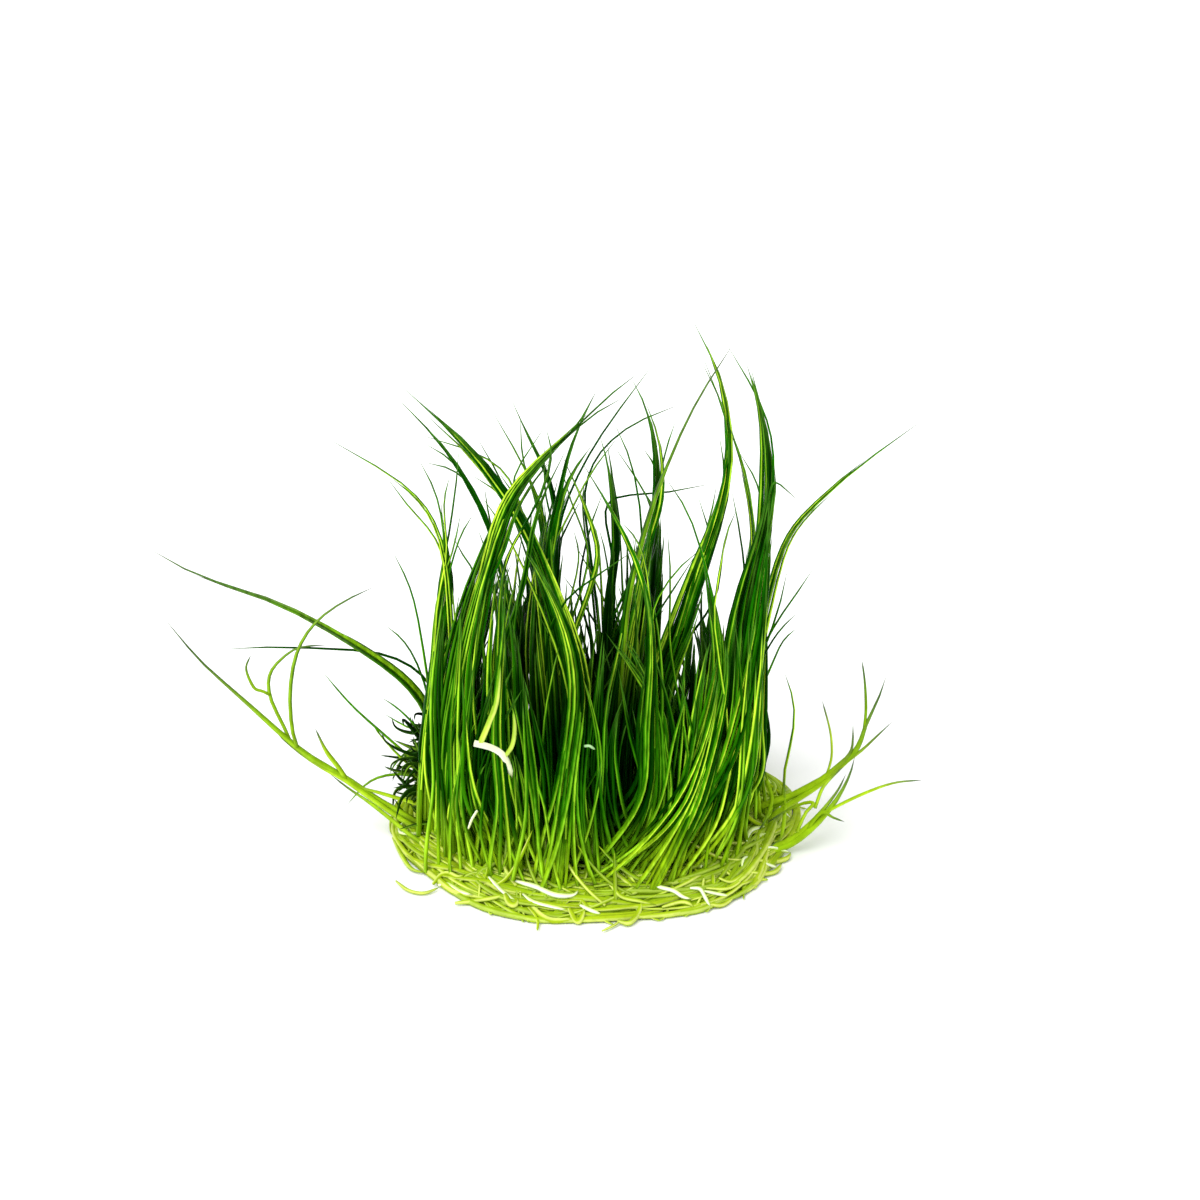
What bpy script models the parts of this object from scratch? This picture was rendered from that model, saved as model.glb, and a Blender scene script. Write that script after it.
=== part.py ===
"""Dwarf hairgrass: one round portion of the plant, as it leaves its growing cup.

A thin mat of woven roots lies flat. Crowns of leaves stand close together on it,
and the wet leaves cling to each other in tufts that pinch together at their tips.
A few runners and long leaves reach far out past the mat.

Routes are in millimetres: +X is right, +Y is away from the viewer, +Z is up, and
the origin is the middle of the mat's flat underside.
"""
import math

import bmesh
import bpy
import numpy as np
from mathutils import Vector
from mathutils.bvhtree import BVHTree

MM = 0.001

# Root mat
MAT_RADIUS = 29.6
MAT_HEIGHT = 4.2
MAT_LEAN = 1.3            # how much further the mat reaches to the front right
MAT_LUMP = 0.8            # waviness of its outline
MAT_CROWN_LUMP = 0.10     # unevenness of its top, as a share of the height
ROOT_COUNT = 9
ROOT_RADIUS = 0.9
ROOT_SPAN = math.radians(46)
ROOT_POINTS = 6

# Leaves
FOOT_RADIUS = 0.80        # a lock of leaves where it leaves the crown
BELLY_RADIUS = 0.72
TIP_RADIUS = 0.28
CROWN_RADIUS = 1.5        # the swollen foot that a tuft stands on
CROWN_NECK = 1.2
CROWN_HEIGHT = 1.4
CROWN_SHARE = 0.5         # how high in the crown the other leaves start
CROWN_RING = 0.4          # and how far from its middle
GAP = 0.30                # clearance between neighbouring pieces
SWEEP_CLEARANCE = 0.12    # extra clearance for the corners of the square tubes
POINT_SPACING = 13.5      # along a leaf
FEWEST_POINTS = 5
FLARE_POWER = 0.55        # where a tuft is widest: lower is nearer the foot

# Making room between leaves
ROOM_STEPS = 420
SMOOTH_STEPS = 260
SMOOTH_SHARE = 0.12
UPRIGHT_SHARE = 0.35      # how much of a push may go up or down

# Each tuft: how far its leaves stand apart, how many, and the route of its middle.
# A route's first point stands on the mat, so it has no height.
TUFTS = {
    "tuft_right_tall": (3.4, 5, [(20, -14), (21.5, -12, 17), (23.5, -9, 41),
                                 (26.5, -6, 56), (26, -4, 67), (23.5, -2, 77)]),
    "tuft_right_sweep": (2.2, 3, [(13, -22), (17, -19, 13), (21, -16, 21),
                                  (25, -12, 39), (26, -9, 58)]),
    "tuft_middle_right": (2.4, 4, [(8.5, -25), (13, -22.5, 11), (16, -19, 17),
                                   (19.5, -13, 31), (17.5, -9, 45), (11.5, -6, 60)]),
    "tuft_front_right": (2.8, 4, [(6, -18.5), (10, -18, 14), (9.5, -15, 22),
                                  (9.5, -12, 36), (7.5, -9, 48), (4.5, -7, 62)]),
    "tuft_left_lean": (2.6, 4, [(-4, -25), (-2.5, -19, 17), (-1.5, -12, 30),
                                (-6, -5, 44), (-12, 1, 55), (-20, 3, 63),
                                (-28, 4, 70)]),
    "tuft_left_fork": (2.8, 4, [(-13, -20.5), (-13, -16, 18), (-13, -12, 36),
                                (-12, -9, 48), (-8.5, -7, 58), (-3, -5, 64)]),
    "tuft_left_arch": (3.0, 4, [(-21, -15), (-21, -14, 19), (-19.5, -13, 31),
                                (-17.5, -11, 42), (-14, -9, 52), (-10, -7, 60),
                                (-3, -4, 65.5), (7, 0, 74)]),
    "tuft_left_column": (2.8, 4, [(-24.5, -9), (-25, -10, 17), (-23.5, -11, 30),
                                  (-21.5, -9, 48), (-20, -8, 60)]),
    "tuft_tall": (2.4, 4, [(10.5, -11.5), (10, -8, 24), (13.5, -4, 33), (16.5, -1, 42),
                           (20, 2, 52), (21, 4, 61), (19.5, 6, 72), (15.5, 8, 79.5)]),
    "tuft_middle_peak": (2.2, 4, [(3.5, -9), (6, -3, 25), (8.5, 1, 43),
                                  (10.5, 4, 57), (9.5, 5, 63), (6.4, 6, 70.5)]),
    "tuft_centre_left": (2.6, 4, [(-5, -15), (-6, -9, 22), (-6.5, -5, 36),
                                  (-6, -2, 47.5), (-3, 1, 59), (1.5, 3, 70)]),
    "tuft_dark_left": (2.0, 3, [(-14, -6), (-11, 0, 21), (-12, 3, 36),
                                (-15, 5, 47), (-22, 7, 60), (-28, 8, 67)]),
    "tuft_inner_left": (2.0, 3, [(-9, -1), (-6, 2, 25), (-6, 4, 38),
                                 (-7.5, 5, 50), (-10.5, 5, 59), (-14.5, 6, 65.5)]),
    "tuft_behind_left": (2.0, 3, [(-4, 6), (-5, 7, 28), (-5, 8, 42),
                                  (-5.5, 9, 53), (-8, 9.5, 58), (-12, 10, 65)]),
    "tuft_centre": (2.0, 3, [(2, 0), (3, 3, 30), (4, 5, 44), (3.5, 7, 50),
                             (3, 8, 59)]),
    "leaf_bright": (0.0, 1, [(3, -14), (5.6, -9, 38.5), (7.7, -7, 48.5), (10, -6, 57),
                             (15, -4, 69), (21, -2, 78.5)]),
    "leaf_right_blade": (0.9, 2, [(21, -4.5), (24, -2, 22), (28.7, 0, 45.5),
                                  (34, 1, 52.5), (39.5, 2, 57.5), (49, 3, 64.7)]),
    "leaf_fine_right": (0.0, 1, [(21.5, 7), (24, 7, 25), (24.7, 6, 44.7),
                                 (22, 6, 58.5), (16.5, 8, 73)]),
    "leaf_centre_a": (0.0, 1, [(-2.5, 13), (-4, 9, 30), (-4.5, 7, 45), (0.5, 7, 58),
                               (10, 10, 71)]),
    "leaf_centre_b": (0.0, 1, [(4, 10.5), (1, 9, 35), (-0.5, 9, 52), (5, 10, 60),
                               (14, 12, 63.5)]),
    "leaf_left_hair": (0.0, 1, [(-18.5, -9.5), (-19.7, -10, 40), (-21, -8, 51),
                                (-25.5, -6, 57.5), (-37.7, -4, 64.7)]),
    "tuft_front_1": (2.6, 3, [(-18.5, -21), (-18, -19, 12), (-17, -17, 24),
                              (-16, -15, 36)]),
    "tuft_front_2": (2.6, 3, [(-9, -25), (-8, -19, 14), (-9, -16, 26),
                              (-10, -14, 38)]),
    "tuft_front_3": (2.6, 3, [(1, -20.5), (1, -18, 13), (1.5, -16, 26),
                              (2, -13, 38)]),
    "tuft_front_4": (2.6, 3, [(14.5, -16), (15, -15, 13), (16, -13, 26),
                              (17, -11, 36)]),
    "tuft_front_5": (2.6, 3, [(19.5, -21), (22, -18, 12), (23, -15, 26),
                              (24, -12, 40)]),
    "tuft_front_6": (2.4, 3, [(26.2, -7.6), (27, -8.5, 12), (27.5, -8, 26),
                              (27, -7, 40)]),
    "tuft_middle_1": (2.4, 3, [(-18, 1.5), (-18, 0, 14), (-18, -1, 24),
                               (-17.5, -2, 31)]),
    "tuft_middle_2": (2.4, 3, [(-10.5, -11.5), (-10, -9, 14), (-11, -8, 28),
                               (-12, -7, 42)]),
    "tuft_middle_3": (2.4, 3, [(-3, -5), (-2, -4, 14), (-1, -3, 26), (0, -2, 36)]),
    "tuft_middle_4": (2.4, 3, [(8, -4), (7, -3, 15), (7, -2, 30), (6.5, -2, 42)]),
    "tuft_middle_5": (2.4, 3, [(14, 0), (15, 0, 15), (15.5, -1, 26), (15, -1, 36)]),
    "tuft_middle_6": (2.4, 3, [(9, 5), (7, 6, 16), (5.5, 6, 32), (4.5, 6, 46)]),
    "tuft_middle_7": (2.4, 3, [(16, 8.5), (19, 8, 14), (19, 6, 26), (17.5, 4, 40)]),
    "tuft_middle_8": (2.4, 3, [(-12, 5), (-12, 5, 16), (-10.5, 5, 32), (-9, 5, 48)]),
    "tuft_back_1": (2.4, 3, [(-17.5, 9.5), (-19, 8, 16), (-16, 8, 32),
                             (-12.5, 8, 50)]),
    "tuft_back_2": (2.4, 3, [(-11.5, 13), (-11, 14, 18), (-8, 13, 35), (-5, 12, 52)]),
    "tuft_back_3": (2.4, 3, [(-6, 19), (-6, 19, 18), (-7, 17, 34), (-7, 15, 48)]),
    "tuft_back_4": (2.4, 3, [(1, 19), (0, 16, 12), (-2, 14, 22), (-4, 12, 40)]),
    "tuft_back_5": (2.4, 3, [(9, 13.5), (9, 14, 18), (10, 12, 36), (10.3, 9, 53)]),
    "tuft_back_6": (2.4, 3, [(9, 21), (9, 22, 15), (9.5, 20, 30), (9.5, 17, 45)]),
    "tuft_back_7": (2.4, 3, [(16, 16.5), (17, 17, 12), (17.5, 16, 24), (17, 14, 38)]),
    "tuft_back_8": (2.4, 3, [(22, 13.5), (24, 12, 18), (26, 10, 38), (26.5, 8, 58)]),
    "tuft_back_9": (2.4, 3, [(-1.5, 25.5), (-2, 25, 10), (-3, 24, 20), (-3, 22, 31)]),
    "tuft_back_10": (2.4, 3, [(-18.5, 17), (-19, 16, 12), (-17, 14, 26),
                              (-14, 12, 38)]),
    "tuft_back_11": (2.4, 3, [(-24, 0), (-25, 1, 14), (-23, 0, 28), (-22, -2, 40)]),
    "tuft_back_12": (2.4, 3, [(25.5, 3), (25.5, 4, 14), (25.5, 3, 30), (26, 2, 46)]),
    "branch_left": (0.9, 2, [(-23, 6), (-23, 4, 12), (-26.2, 0, 22.5), (-34, -2, 30.4),
                             (-45.5, -2, 37.5), (-57.5, -2, 42), (-64.4, -2, 46.4)]),
    "branch_back": (1.2, 2, [(-11, 24.5), (-12, 27, 10), (-13, 31, 18),
                             (-13, 37, 26)]),
    "runner_left": (0.0, 1, [(-26.5, -4), (-32.5, -4, 8), (-42, -4, 14.4),
                             (-51, -4, 22.6), (-63, -3, 35.6)]),
    "runner_right_upper": (0.0, 1, [(27, -2.2), (33.7, -3, 8.7), (38.5, -3, 12.3),
                                    (41, -3, 18.7), (40.6, -3, 28.6)]),
    "runner_right_lower": (0.0, 1, [(26, -13.5), (31.5, -12.5, 5.6), (34.8, -11, 7),
                                    (37.6, -9, 10.3), (39.5, -7, 14.2)]),
    "runner_back": (0.0, 1, [(5.5, 26.5), (9, 30.5, 5.5), (12, 34, 8),
                             (15, 39, 14)]),
}

# Pieces that start on a neighbour and not on the mat
CAUGHT = {
    "leaf_runner_arch": [(-44, -5.6, 17.6), (-43.6, -6, 27), (-40.7, -6, 35.5),
                         (-31.4, -6, 42)],
    "leaf_runner_loop": [(-46.4, -2.4, 18.6), (-47.4, 0, 23), (-44, 1, 28),
                         (-37, 1, 29)],
    "rhizome_pale": [(-16, -21.5, 24.3), (-13.5, -22, 23.6), (-10.8, -22, 19.2)],
}

# Side leaves, fused to the piece that they grow from
SIDE_LEAVES = {
    "runner_right_upper": [[(40.5, -3, 17.5), (43, -2, 22), (44.3, -2, 26.5)],
                           [(38.8, -3, 12.7), (42.5, -3, 16), (45.3, -3, 19)]],
    "runner_right_lower": [[(35.6, -10.4, 7.9), (41, -10, 9.8), (49.7, -10, 12.4)]],
    "rhizome_pale": [[(-15, -21.7, 24.1), (-13, -20.5, 29), (-12, -19.5, 36)],
                     [(-12.2, -22, 22.4), (-10.4, -21.5, 25), (-10.8, -21, 29.5)]],
}

LEAF_COLOURS = {"tuft": (0.05, 0.24, 0.01), "leaf": (0.10, 0.36, 0.02),
                "branch": (0.07, 0.28, 0.02), "runner": (0.36, 0.56, 0.03),
                "rhizome": (0.78, 0.82, 0.48), "root": (0.46, 0.58, 0.06)}
LEAF_ROUGHNESS = 0.35


def clear_scene():
    for item in list(bpy.data.objects):
        bpy.data.objects.remove(item, do_unlink=True)


def new_collection(name):
    group = bpy.data.collections.new(name)
    bpy.context.scene.collection.children.link(group)
    return group


def make_material(name, colour, roughness):
    material = bpy.data.materials.new(name)
    material.use_nodes = True
    shader = material.node_tree.nodes["Principled BSDF"]
    shader.inputs["Base Color"].default_value = (*colour, 1.0)
    shader.inputs["Roughness"].default_value = roughness
    shader.inputs["Metallic"].default_value = 0.0
    return material


def smooth_route(points, count):
    """Count points along a smooth curve through the route's own points."""
    knots = np.array(points, float)
    ends = [2 * knots[0] - knots[1], 2 * knots[-1] - knots[-2]]
    knots = np.vstack([ends[0], knots, ends[1]])
    fine = []
    for a, b, c, d in zip(knots, knots[1:], knots[2:], knots[3:]):
        for u in np.linspace(0, 1, 12, endpoint=False):
            fine.append(0.5 * (2 * b + (c - a) * u + (2 * a - 5 * b + 4 * c - d) * u**2
                               + (3 * b - a - 3 * c + d) * u**3))
    fine.append(knots[-2])
    fine = np.array(fine)
    steps = np.linalg.norm(np.diff(fine, axis=0), axis=1)
    along = np.concatenate([[0], np.cumsum(steps)])
    wanted = np.linspace(0, along[-1], count)
    return np.column_stack([np.interp(wanted, along, fine[:, k]) for k in range(3)])


def route_length(points):
    return float(np.linalg.norm(np.diff(np.array(points, float), axis=0), axis=1).sum())


def leaf_count(points):
    return max(FEWEST_POINTS, round(route_length(points) / POINT_SPACING) + 1)


def leaf_radii(count, thickness=1.0):
    """Full at the foot and the belly, fine at the tip."""
    share = np.linspace(0, 1, count)
    belly = FOOT_RADIUS + (BELLY_RADIUS - FOOT_RADIUS) * np.minimum(share / 0.5, 1)
    return thickness * (TIP_RADIUS + (belly - TIP_RADIUS) * (1 - share**2.2))


def fan_leaves(route, spread, count):
    """Leaves around a tuft's middle: one crown, a wide belly, tips close together."""
    fine = smooth_route(route, 40)
    reach = fine[-1] - fine[0]
    across = np.array([-reach[1], reach[0], 0.0])
    if np.linalg.norm(across) < 1.0:
        across = np.array([0.0, 1.0, 0.0])
    heading = np.gradient(fine, axis=0)
    heading /= np.linalg.norm(heading, axis=1)[:, None]
    side = across - heading * (heading @ across)[:, None]
    side /= np.linalg.norm(side, axis=1)[:, None]
    front = np.cross(heading, side)
    share = np.linspace(0, 1, len(fine))
    flare = spread * np.sin(math.pi * share**FLARE_POWER)
    leaves = []
    for number in range(count):
        turn = 2 * math.pi * (number + 0.25) / count
        offset = side * math.cos(turn) + front * math.sin(turn)
        line = fine + offset * flare[:, None]
        length = 1.0 - 0.09 * number
        kept = line[:max(8, int(round(length * len(fine))))]
        leaf = smooth_route(kept[::3], leaf_count(kept))
        if number:
            leaf[0] += offset[0] * CROWN_RING
            leaf[0, 2] += CROWN_HEIGHT * CROWN_SHARE * (0.8 + 0.2 * number)
        leaves.append(leaf)
    return leaves


def stand_on_crown(leaf):
    """A tuft's first leaf grows out of its crown, a short stout stub on the mat."""
    neck = leaf[0] + (0, 0, CROWN_HEIGHT)
    return np.vstack([leaf[0], neck, leaf[1:]])


def closest_points(p1, q1, p2, q2):
    """Where two segments come closest: the shares along each, and the way between."""
    d1, d2, r = q1 - p1, q2 - p2, p1 - p2
    a = np.maximum((d1 * d1).sum(1), 1e-9)
    e = np.maximum((d2 * d2).sum(1), 1e-9)
    b, c, f = (d1 * d2).sum(1), (d1 * r).sum(1), (d2 * r).sum(1)
    flat = a * e - b * b
    s = np.where(flat > 1e-9, np.clip((b * f - c * e) / np.maximum(flat, 1e-9), 0, 1), 0)
    t = np.clip((b * s + f) / e, 0, 1)
    s = np.clip((b * t - c) / a, 0, 1)
    return s, t, (p1 + d1 * s[:, None]) - (p2 + d2 * t[:, None])


def make_room(strands):
    """Push leaves apart sideways until each clears its neighbours.

    A strand is a dict with its points, radii, owner and first free point. Strands
    of one owner may touch near their common crown, where they are fused.
    """
    points = np.vstack([s["points"] for s in strands])
    radii = np.concatenate([s["radii"] for s in strands])
    free, owner, near_crown, first = [], [], [], []
    start = 0
    for s in strands:
        count = len(s["points"])
        free += [0.0 if k < s["fixed"] else 1.0 for k in range(count)]
        for k in range(count - 1):
            first.append(start + k)
            owner.append(s["owner"])
            near_crown.append(k < s["fused"])
        start += count
    free, first = np.array(free), np.array(first)
    owner, near_crown = np.array(owner), np.array(near_crown)
    strand_of = np.repeat(np.arange(len(strands)), [len(s["points"]) - 1 for s in strands])
    home = points.copy()
    one, two = np.triu_indices(len(first), 1)
    same = (owner[one] == owner[two]) & (near_crown[one] | near_crown[two])
    keep = ~same & (strand_of[one] != strand_of[two])
    one, two = one[keep], two[keep]
    for step in range(ROOM_STEPS):
        middle = (points[first] + points[first + 1]) / 2
        half = np.linalg.norm(points[first + 1] - points[first], axis=1) / 2
        apart = np.linalg.norm(middle[one] - middle[two], axis=1)
        near = apart < half[one] + half[two] + 2.5
        a, b = first[one[near]], first[two[near]]
        s, t, way = closest_points(points[a], points[a + 1], points[b], points[b + 1])
        gap = np.linalg.norm(way, axis=1)
        wanted = (radii[a] * (1 - s) + radii[a + 1] * s + radii[b] * (1 - t)
                  + radii[b + 1] * t + GAP + SWEEP_CLEARANCE)
        tight = gap < wanted
        if not tight.any():
            break
        a, b, s, t = a[tight], b[tight], s[tight], t[tight]
        way, gap, wanted = way[tight], gap[tight], wanted[tight]
        way[:, 2] *= UPRIGHT_SHARE
        flat = np.linalg.norm(way, axis=1)
        way[flat < 1e-3] = (1.0, 0.0, 0.0)
        way /= np.maximum(np.linalg.norm(way, axis=1), 1e-3)[:, None]
        push = way * ((wanted - gap) * 0.5 + 0.01)[:, None]
        move = np.zeros_like(points)
        hits = np.zeros(len(points))
        for index, share, sign in ((a, 1 - s, 1), (a + 1, s, 1), (b, 1 - t, -1),
                                   (b + 1, t, -1)):
            np.add.at(move, index, sign * push * share[:, None])
            np.add.at(hits, index, share)
        points += move / np.maximum(hits, 1.0)[:, None] * free[:, None]
        if step < SMOOTH_STEPS:
            drift = points - home
            start = 0
            for strand in strands:
                count = len(strand["points"])
                part = drift[start:start + count]
                even = part.copy()
                even[1:-1] = (part[:-2] + part[2:]) / 2
                drift[start:start + count] += SMOOTH_SHARE * (even - part)
                start += count
            points = home + drift * free[:, None]
    print("leaf pairs still closer than wanted:", int(tight.sum()), "after", step, "steps")
    start = 0
    for s in strands:
        count = len(s["points"])
        s["points"] = points[start:start + count]
        start += count


def tube_object(name, points, radii, group):
    """A leaf or root as a bevelled curve with filled caps, made a closed mesh."""
    curve = bpy.data.curves.new(name, "CURVE")
    curve.dimensions = "3D"
    curve.bevel_depth = MM
    curve.bevel_resolution = 0
    curve.use_fill_caps = True
    spline = curve.splines.new("POLY")
    spline.points.add(len(points) - 1)
    for knot, place, radius in zip(spline.points, points, radii):
        knot.co = (*(Vector(place) * MM), 1.0)
        knot.radius = radius
    source = bpy.data.objects.new(name + "_curve", curve)
    group.objects.link(source)
    bpy.context.view_layer.update()
    mesh = bpy.data.meshes.new_from_object(
        source.evaluated_get(bpy.context.evaluated_depsgraph_get()))
    bpy.data.objects.remove(source, do_unlink=True)
    form = bmesh.new()
    form.from_mesh(mesh)
    bmesh.ops.remove_doubles(form, verts=form.verts, dist=0.00001)
    bmesh.ops.recalc_face_normals(form, faces=form.faces)
    form.to_mesh(mesh)
    form.free()
    helper = bpy.data.objects.new(name, mesh)
    helper.hide_render = True
    helper.display_type = "WIRE"
    group.objects.link(helper)
    return helper


def fuse(target, tubes):
    """Join tubes to a piece one after the other, so that it is one closed body."""
    for tube in tubes:
        join = target.modifiers.new(tube.name, "BOOLEAN")
        join.operation = "UNION"
        join.solver = "EXACT"
        join.object = tube
    bpy.context.view_layer.update()
    joined = bpy.data.meshes.new_from_object(
        target.evaluated_get(bpy.context.evaluated_depsgraph_get()))
    target.modifiers.clear()
    target.data = joined
    for tube in tubes:
        bpy.data.objects.remove(tube, do_unlink=True)


def mat_edge(angle):
    """The mat's radius in a direction: round, fuller at the front right."""
    return (MAT_RADIUS + MAT_LEAN * math.cos(angle + math.radians(35))
            + MAT_LUMP * math.sin(6 * angle + 0.8))


def make_root_mat(parts, helpers):
    form = bmesh.new()
    bmesh.ops.create_icosphere(form, subdivisions=4, radius=1.0)
    bmesh.ops.bisect_plane(form, geom=form.verts[:] + form.edges[:] + form.faces[:],
                           plane_co=(0, 0, 0), plane_no=(0, 0, -1), clear_outer=True)
    bmesh.ops.remove_doubles(form, verts=form.verts, dist=0.02)
    rim = [edge for edge in form.edges if edge.is_boundary]
    for vert in {vert for edge in rim for vert in edge.verts}:
        vert.co.z = 0.0
    bmesh.ops.contextual_create(form, geom=rim)
    for vert in form.verts:
        angle = math.atan2(vert.co.y, vert.co.x)
        share = math.hypot(vert.co.x, vert.co.y) ** 0.6
        radius = mat_edge(angle) * share
        lump = math.sin(9 * angle + 5 * share) * math.sin(14 * share + 2)
        height = MAT_HEIGHT * vert.co.z * (1 + MAT_CROWN_LUMP * lump)
        vert.co = Vector((radius * math.cos(angle), radius * math.sin(angle), height))
        vert.co *= MM
    bmesh.ops.recalc_face_normals(form, faces=form.faces)
    mesh = bpy.data.meshes.new("root_mat")
    form.to_mesh(mesh)
    form.free()
    mat = bpy.data.objects.new("root_mat", mesh)
    parts.objects.link(mat)
    roots = []
    for number in range(ROOT_COUNT):
        start = 2 * math.pi * number / ROOT_COUNT
        outward = 1 if number % 2 else -1
        line = []
        for k in range(ROOT_POINTS):
            share = k / (ROOT_POINTS - 1)
            angle = start + ROOT_SPAN * share
            sway = share if outward > 0 else 1 - share
            radius = mat_edge(angle) * (0.88 + 0.10 * sway)
            line.append((radius * math.cos(angle), radius * math.sin(angle),
                         3.5 - 2.3 * sway))
        radii = [ROOT_RADIUS * (0.6 + 0.4 * math.sin(math.pi * (k + 0.5) / ROOT_POINTS))
                 for k in range(ROOT_POINTS)]
        roots.append(tube_object(f"root_{number}", line, radii, helpers))
    fuse(mat, roots)
    mat.data.materials.append(make_material("roots", LEAF_COLOURS["root"], 0.55))
    return mat


def surface_tree(item):
    bpy.context.view_layer.update()
    return BVHTree.FromObject(item, bpy.context.evaluated_depsgraph_get())


def height_under(tree, x, y, reach=0.0):
    """The mat's highest point, in mm, under a spot or a disc."""
    best = 0.0
    spots = [(0.0, 0.0)]
    if reach:
        spots += [(reach * math.cos(a), reach * math.sin(a))
                  for a in np.linspace(0, 2 * math.pi, 12, endpoint=False)]
        spots += [(0.5 * dx, 0.5 * dy) for dx, dy in spots[1::2]]
    for dx, dy in spots:
        hit = tree.ray_cast(Vector(((x + dx) * MM, (y + dy) * MM, 30 * MM)),
                            Vector((0, 0, -1)))
        if hit[0] is not None:
            best = max(best, hit[0].z / MM)
    return best


def lift_off_mat(strand, tree):
    """Keep a leaf's low points clear above the mat."""
    for point, radius in zip(strand["points"][1:], strand["radii"][1:]):
        if point[2] < MAT_HEIGHT + 4:
            floor = height_under(tree, point[0], point[1], radius + 0.5)
            if floor > 0:
                point[2] = max(point[2], floor + radius + GAP + 0.2)


def plan_strands(tree):
    strands = []
    for name, (spread, count, route) in TUFTS.items():
        x, y = route[0]
        foot = height_under(tree, x, y, CROWN_RADIUS) + GAP
        route = [(x, y, foot)] + route[1:]
        leaves = (fan_leaves(route, spread, count) if spread
                  else [smooth_route(route, leaf_count(route))])
        radii = leaf_radii(len(leaves[0]))
        strands.append({"owner": name, "points": stand_on_crown(leaves[0]), "fixed": 2,
                        "fused": 2, "radii": [CROWN_RADIUS, CROWN_NECK, *radii[1:]]})
        for leaf in leaves[1:]:
            strands.append({"owner": name, "points": leaf, "fixed": 1, "fused": 1,
                            "radii": leaf_radii(len(leaf))})
    for name, route in CAUGHT.items():
        line = smooth_route(route, leaf_count(route))
        strands.append({"owner": name, "points": line, "fixed": 0, "fused": 0,
                        "radii": leaf_radii(len(line), 0.8)})
    for name, routes in SIDE_LEAVES.items():
        for route in routes:
            line = smooth_route(route, FEWEST_POINTS)
            strands.append({"owner": name, "points": line, "fixed": 1, "fused": 2,
                            "radii": leaf_radii(len(line), 0.7)})
    return strands


def make_piece(name, strands, parts, helpers):
    """One plantlet or loose leaf: the first tube, with the others fused on."""
    tubes = [tube_object(f"{name}_{k}", s["points"], s["radii"], helpers)
             for k, s in enumerate(strands)]
    piece = tubes.pop(0)
    helpers.objects.unlink(piece)
    parts.objects.link(piece)
    piece.name = name
    piece.hide_render = False
    piece.display_type = "TEXTURED"
    if tubes:
        fuse(piece, tubes)
    kind = name.split("_")[0]
    piece.data.materials.append(make_material(name, LEAF_COLOURS[kind], LEAF_ROUGHNESS))


def main():
    clear_scene()
    parts = new_collection("dwarf_hairgrass")
    helpers = new_collection("helpers")
    mat = make_root_mat(parts, helpers)
    tree = surface_tree(mat)
    strands = plan_strands(tree)
    for strand in strands:
        lift_off_mat(strand, tree)
    make_room(strands)
    for name in list(TUFTS) + list(CAUGHT):
        own = [s for s in strands if s["owner"] == name]
        make_piece(name, own, parts, helpers)


main()
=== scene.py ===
# %% [markdown]
# # Dwarf hairgrass, dressed leaf by leaf
#
# The real object is one round portion of an aquarium plant: a thin mat of woven
# runners, and more than a thousand round, hair-thin leaves that cling together in wet
# tufts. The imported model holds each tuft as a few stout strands. This lesson grows
# the fine leaves in their place. It could be done with a hair system, but hair has
# no mesh to keep, so every leaf here is a copy of one small modelled leaf.

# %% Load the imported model
import math
import random

import bmesh
import bpy
import numpy as np
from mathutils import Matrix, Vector


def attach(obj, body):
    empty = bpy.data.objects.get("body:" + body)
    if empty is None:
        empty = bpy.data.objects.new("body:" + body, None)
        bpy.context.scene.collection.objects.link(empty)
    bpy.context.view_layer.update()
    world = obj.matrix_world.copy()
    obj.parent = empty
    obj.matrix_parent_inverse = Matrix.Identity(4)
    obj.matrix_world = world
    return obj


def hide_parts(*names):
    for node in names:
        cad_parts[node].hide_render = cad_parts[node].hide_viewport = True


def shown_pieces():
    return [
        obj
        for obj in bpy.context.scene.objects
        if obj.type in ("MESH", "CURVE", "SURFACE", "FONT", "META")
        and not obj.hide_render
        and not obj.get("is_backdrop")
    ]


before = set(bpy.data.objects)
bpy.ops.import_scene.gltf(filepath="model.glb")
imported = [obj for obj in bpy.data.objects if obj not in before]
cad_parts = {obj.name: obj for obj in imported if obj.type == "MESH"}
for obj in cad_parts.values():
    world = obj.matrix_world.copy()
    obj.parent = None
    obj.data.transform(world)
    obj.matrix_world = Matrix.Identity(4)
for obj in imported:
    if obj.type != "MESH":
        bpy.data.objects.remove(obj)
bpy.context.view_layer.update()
MM = 0.001
print("nodes in the model:", len(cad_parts))

# %% [markdown]
# ## The camera first
#
# The photo looks down on the plant at about 25 degrees with a long lens, so leaves
# in front and behind are drawn nearly to the same scale. A camera can be aimed with
# a constraint, but plain arithmetic leaves nothing live in the file.

# %% Camera at the photo's angle
CAMERA_ELEVATION = math.radians(25)
CAMERA_DISTANCE = 0.440
CAMERA_AIM = Vector((1.8, 0.0, 37.0)) * MM
FIELD_WIDTH = 0.1776           # how much of the aim's plane the picture spans
SENSOR = 36.0


def make_camera():
    lens = bpy.data.cameras.new("camera")
    lens.sensor_width = SENSOR
    lens.lens = SENSOR * CAMERA_DISTANCE / FIELD_WIDTH
    lens.clip_start = 0.01
    camera = bpy.data.objects.new("camera", lens)
    bpy.context.scene.collection.objects.link(camera)
    away = Vector((0, -math.cos(CAMERA_ELEVATION), math.sin(CAMERA_ELEVATION)))
    camera.location = CAMERA_AIM + away * CAMERA_DISTANCE
    camera.rotation_euler = (math.pi / 2 - CAMERA_ELEVATION, 0, 0)
    bpy.context.scene.camera = camera
    return camera


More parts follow.
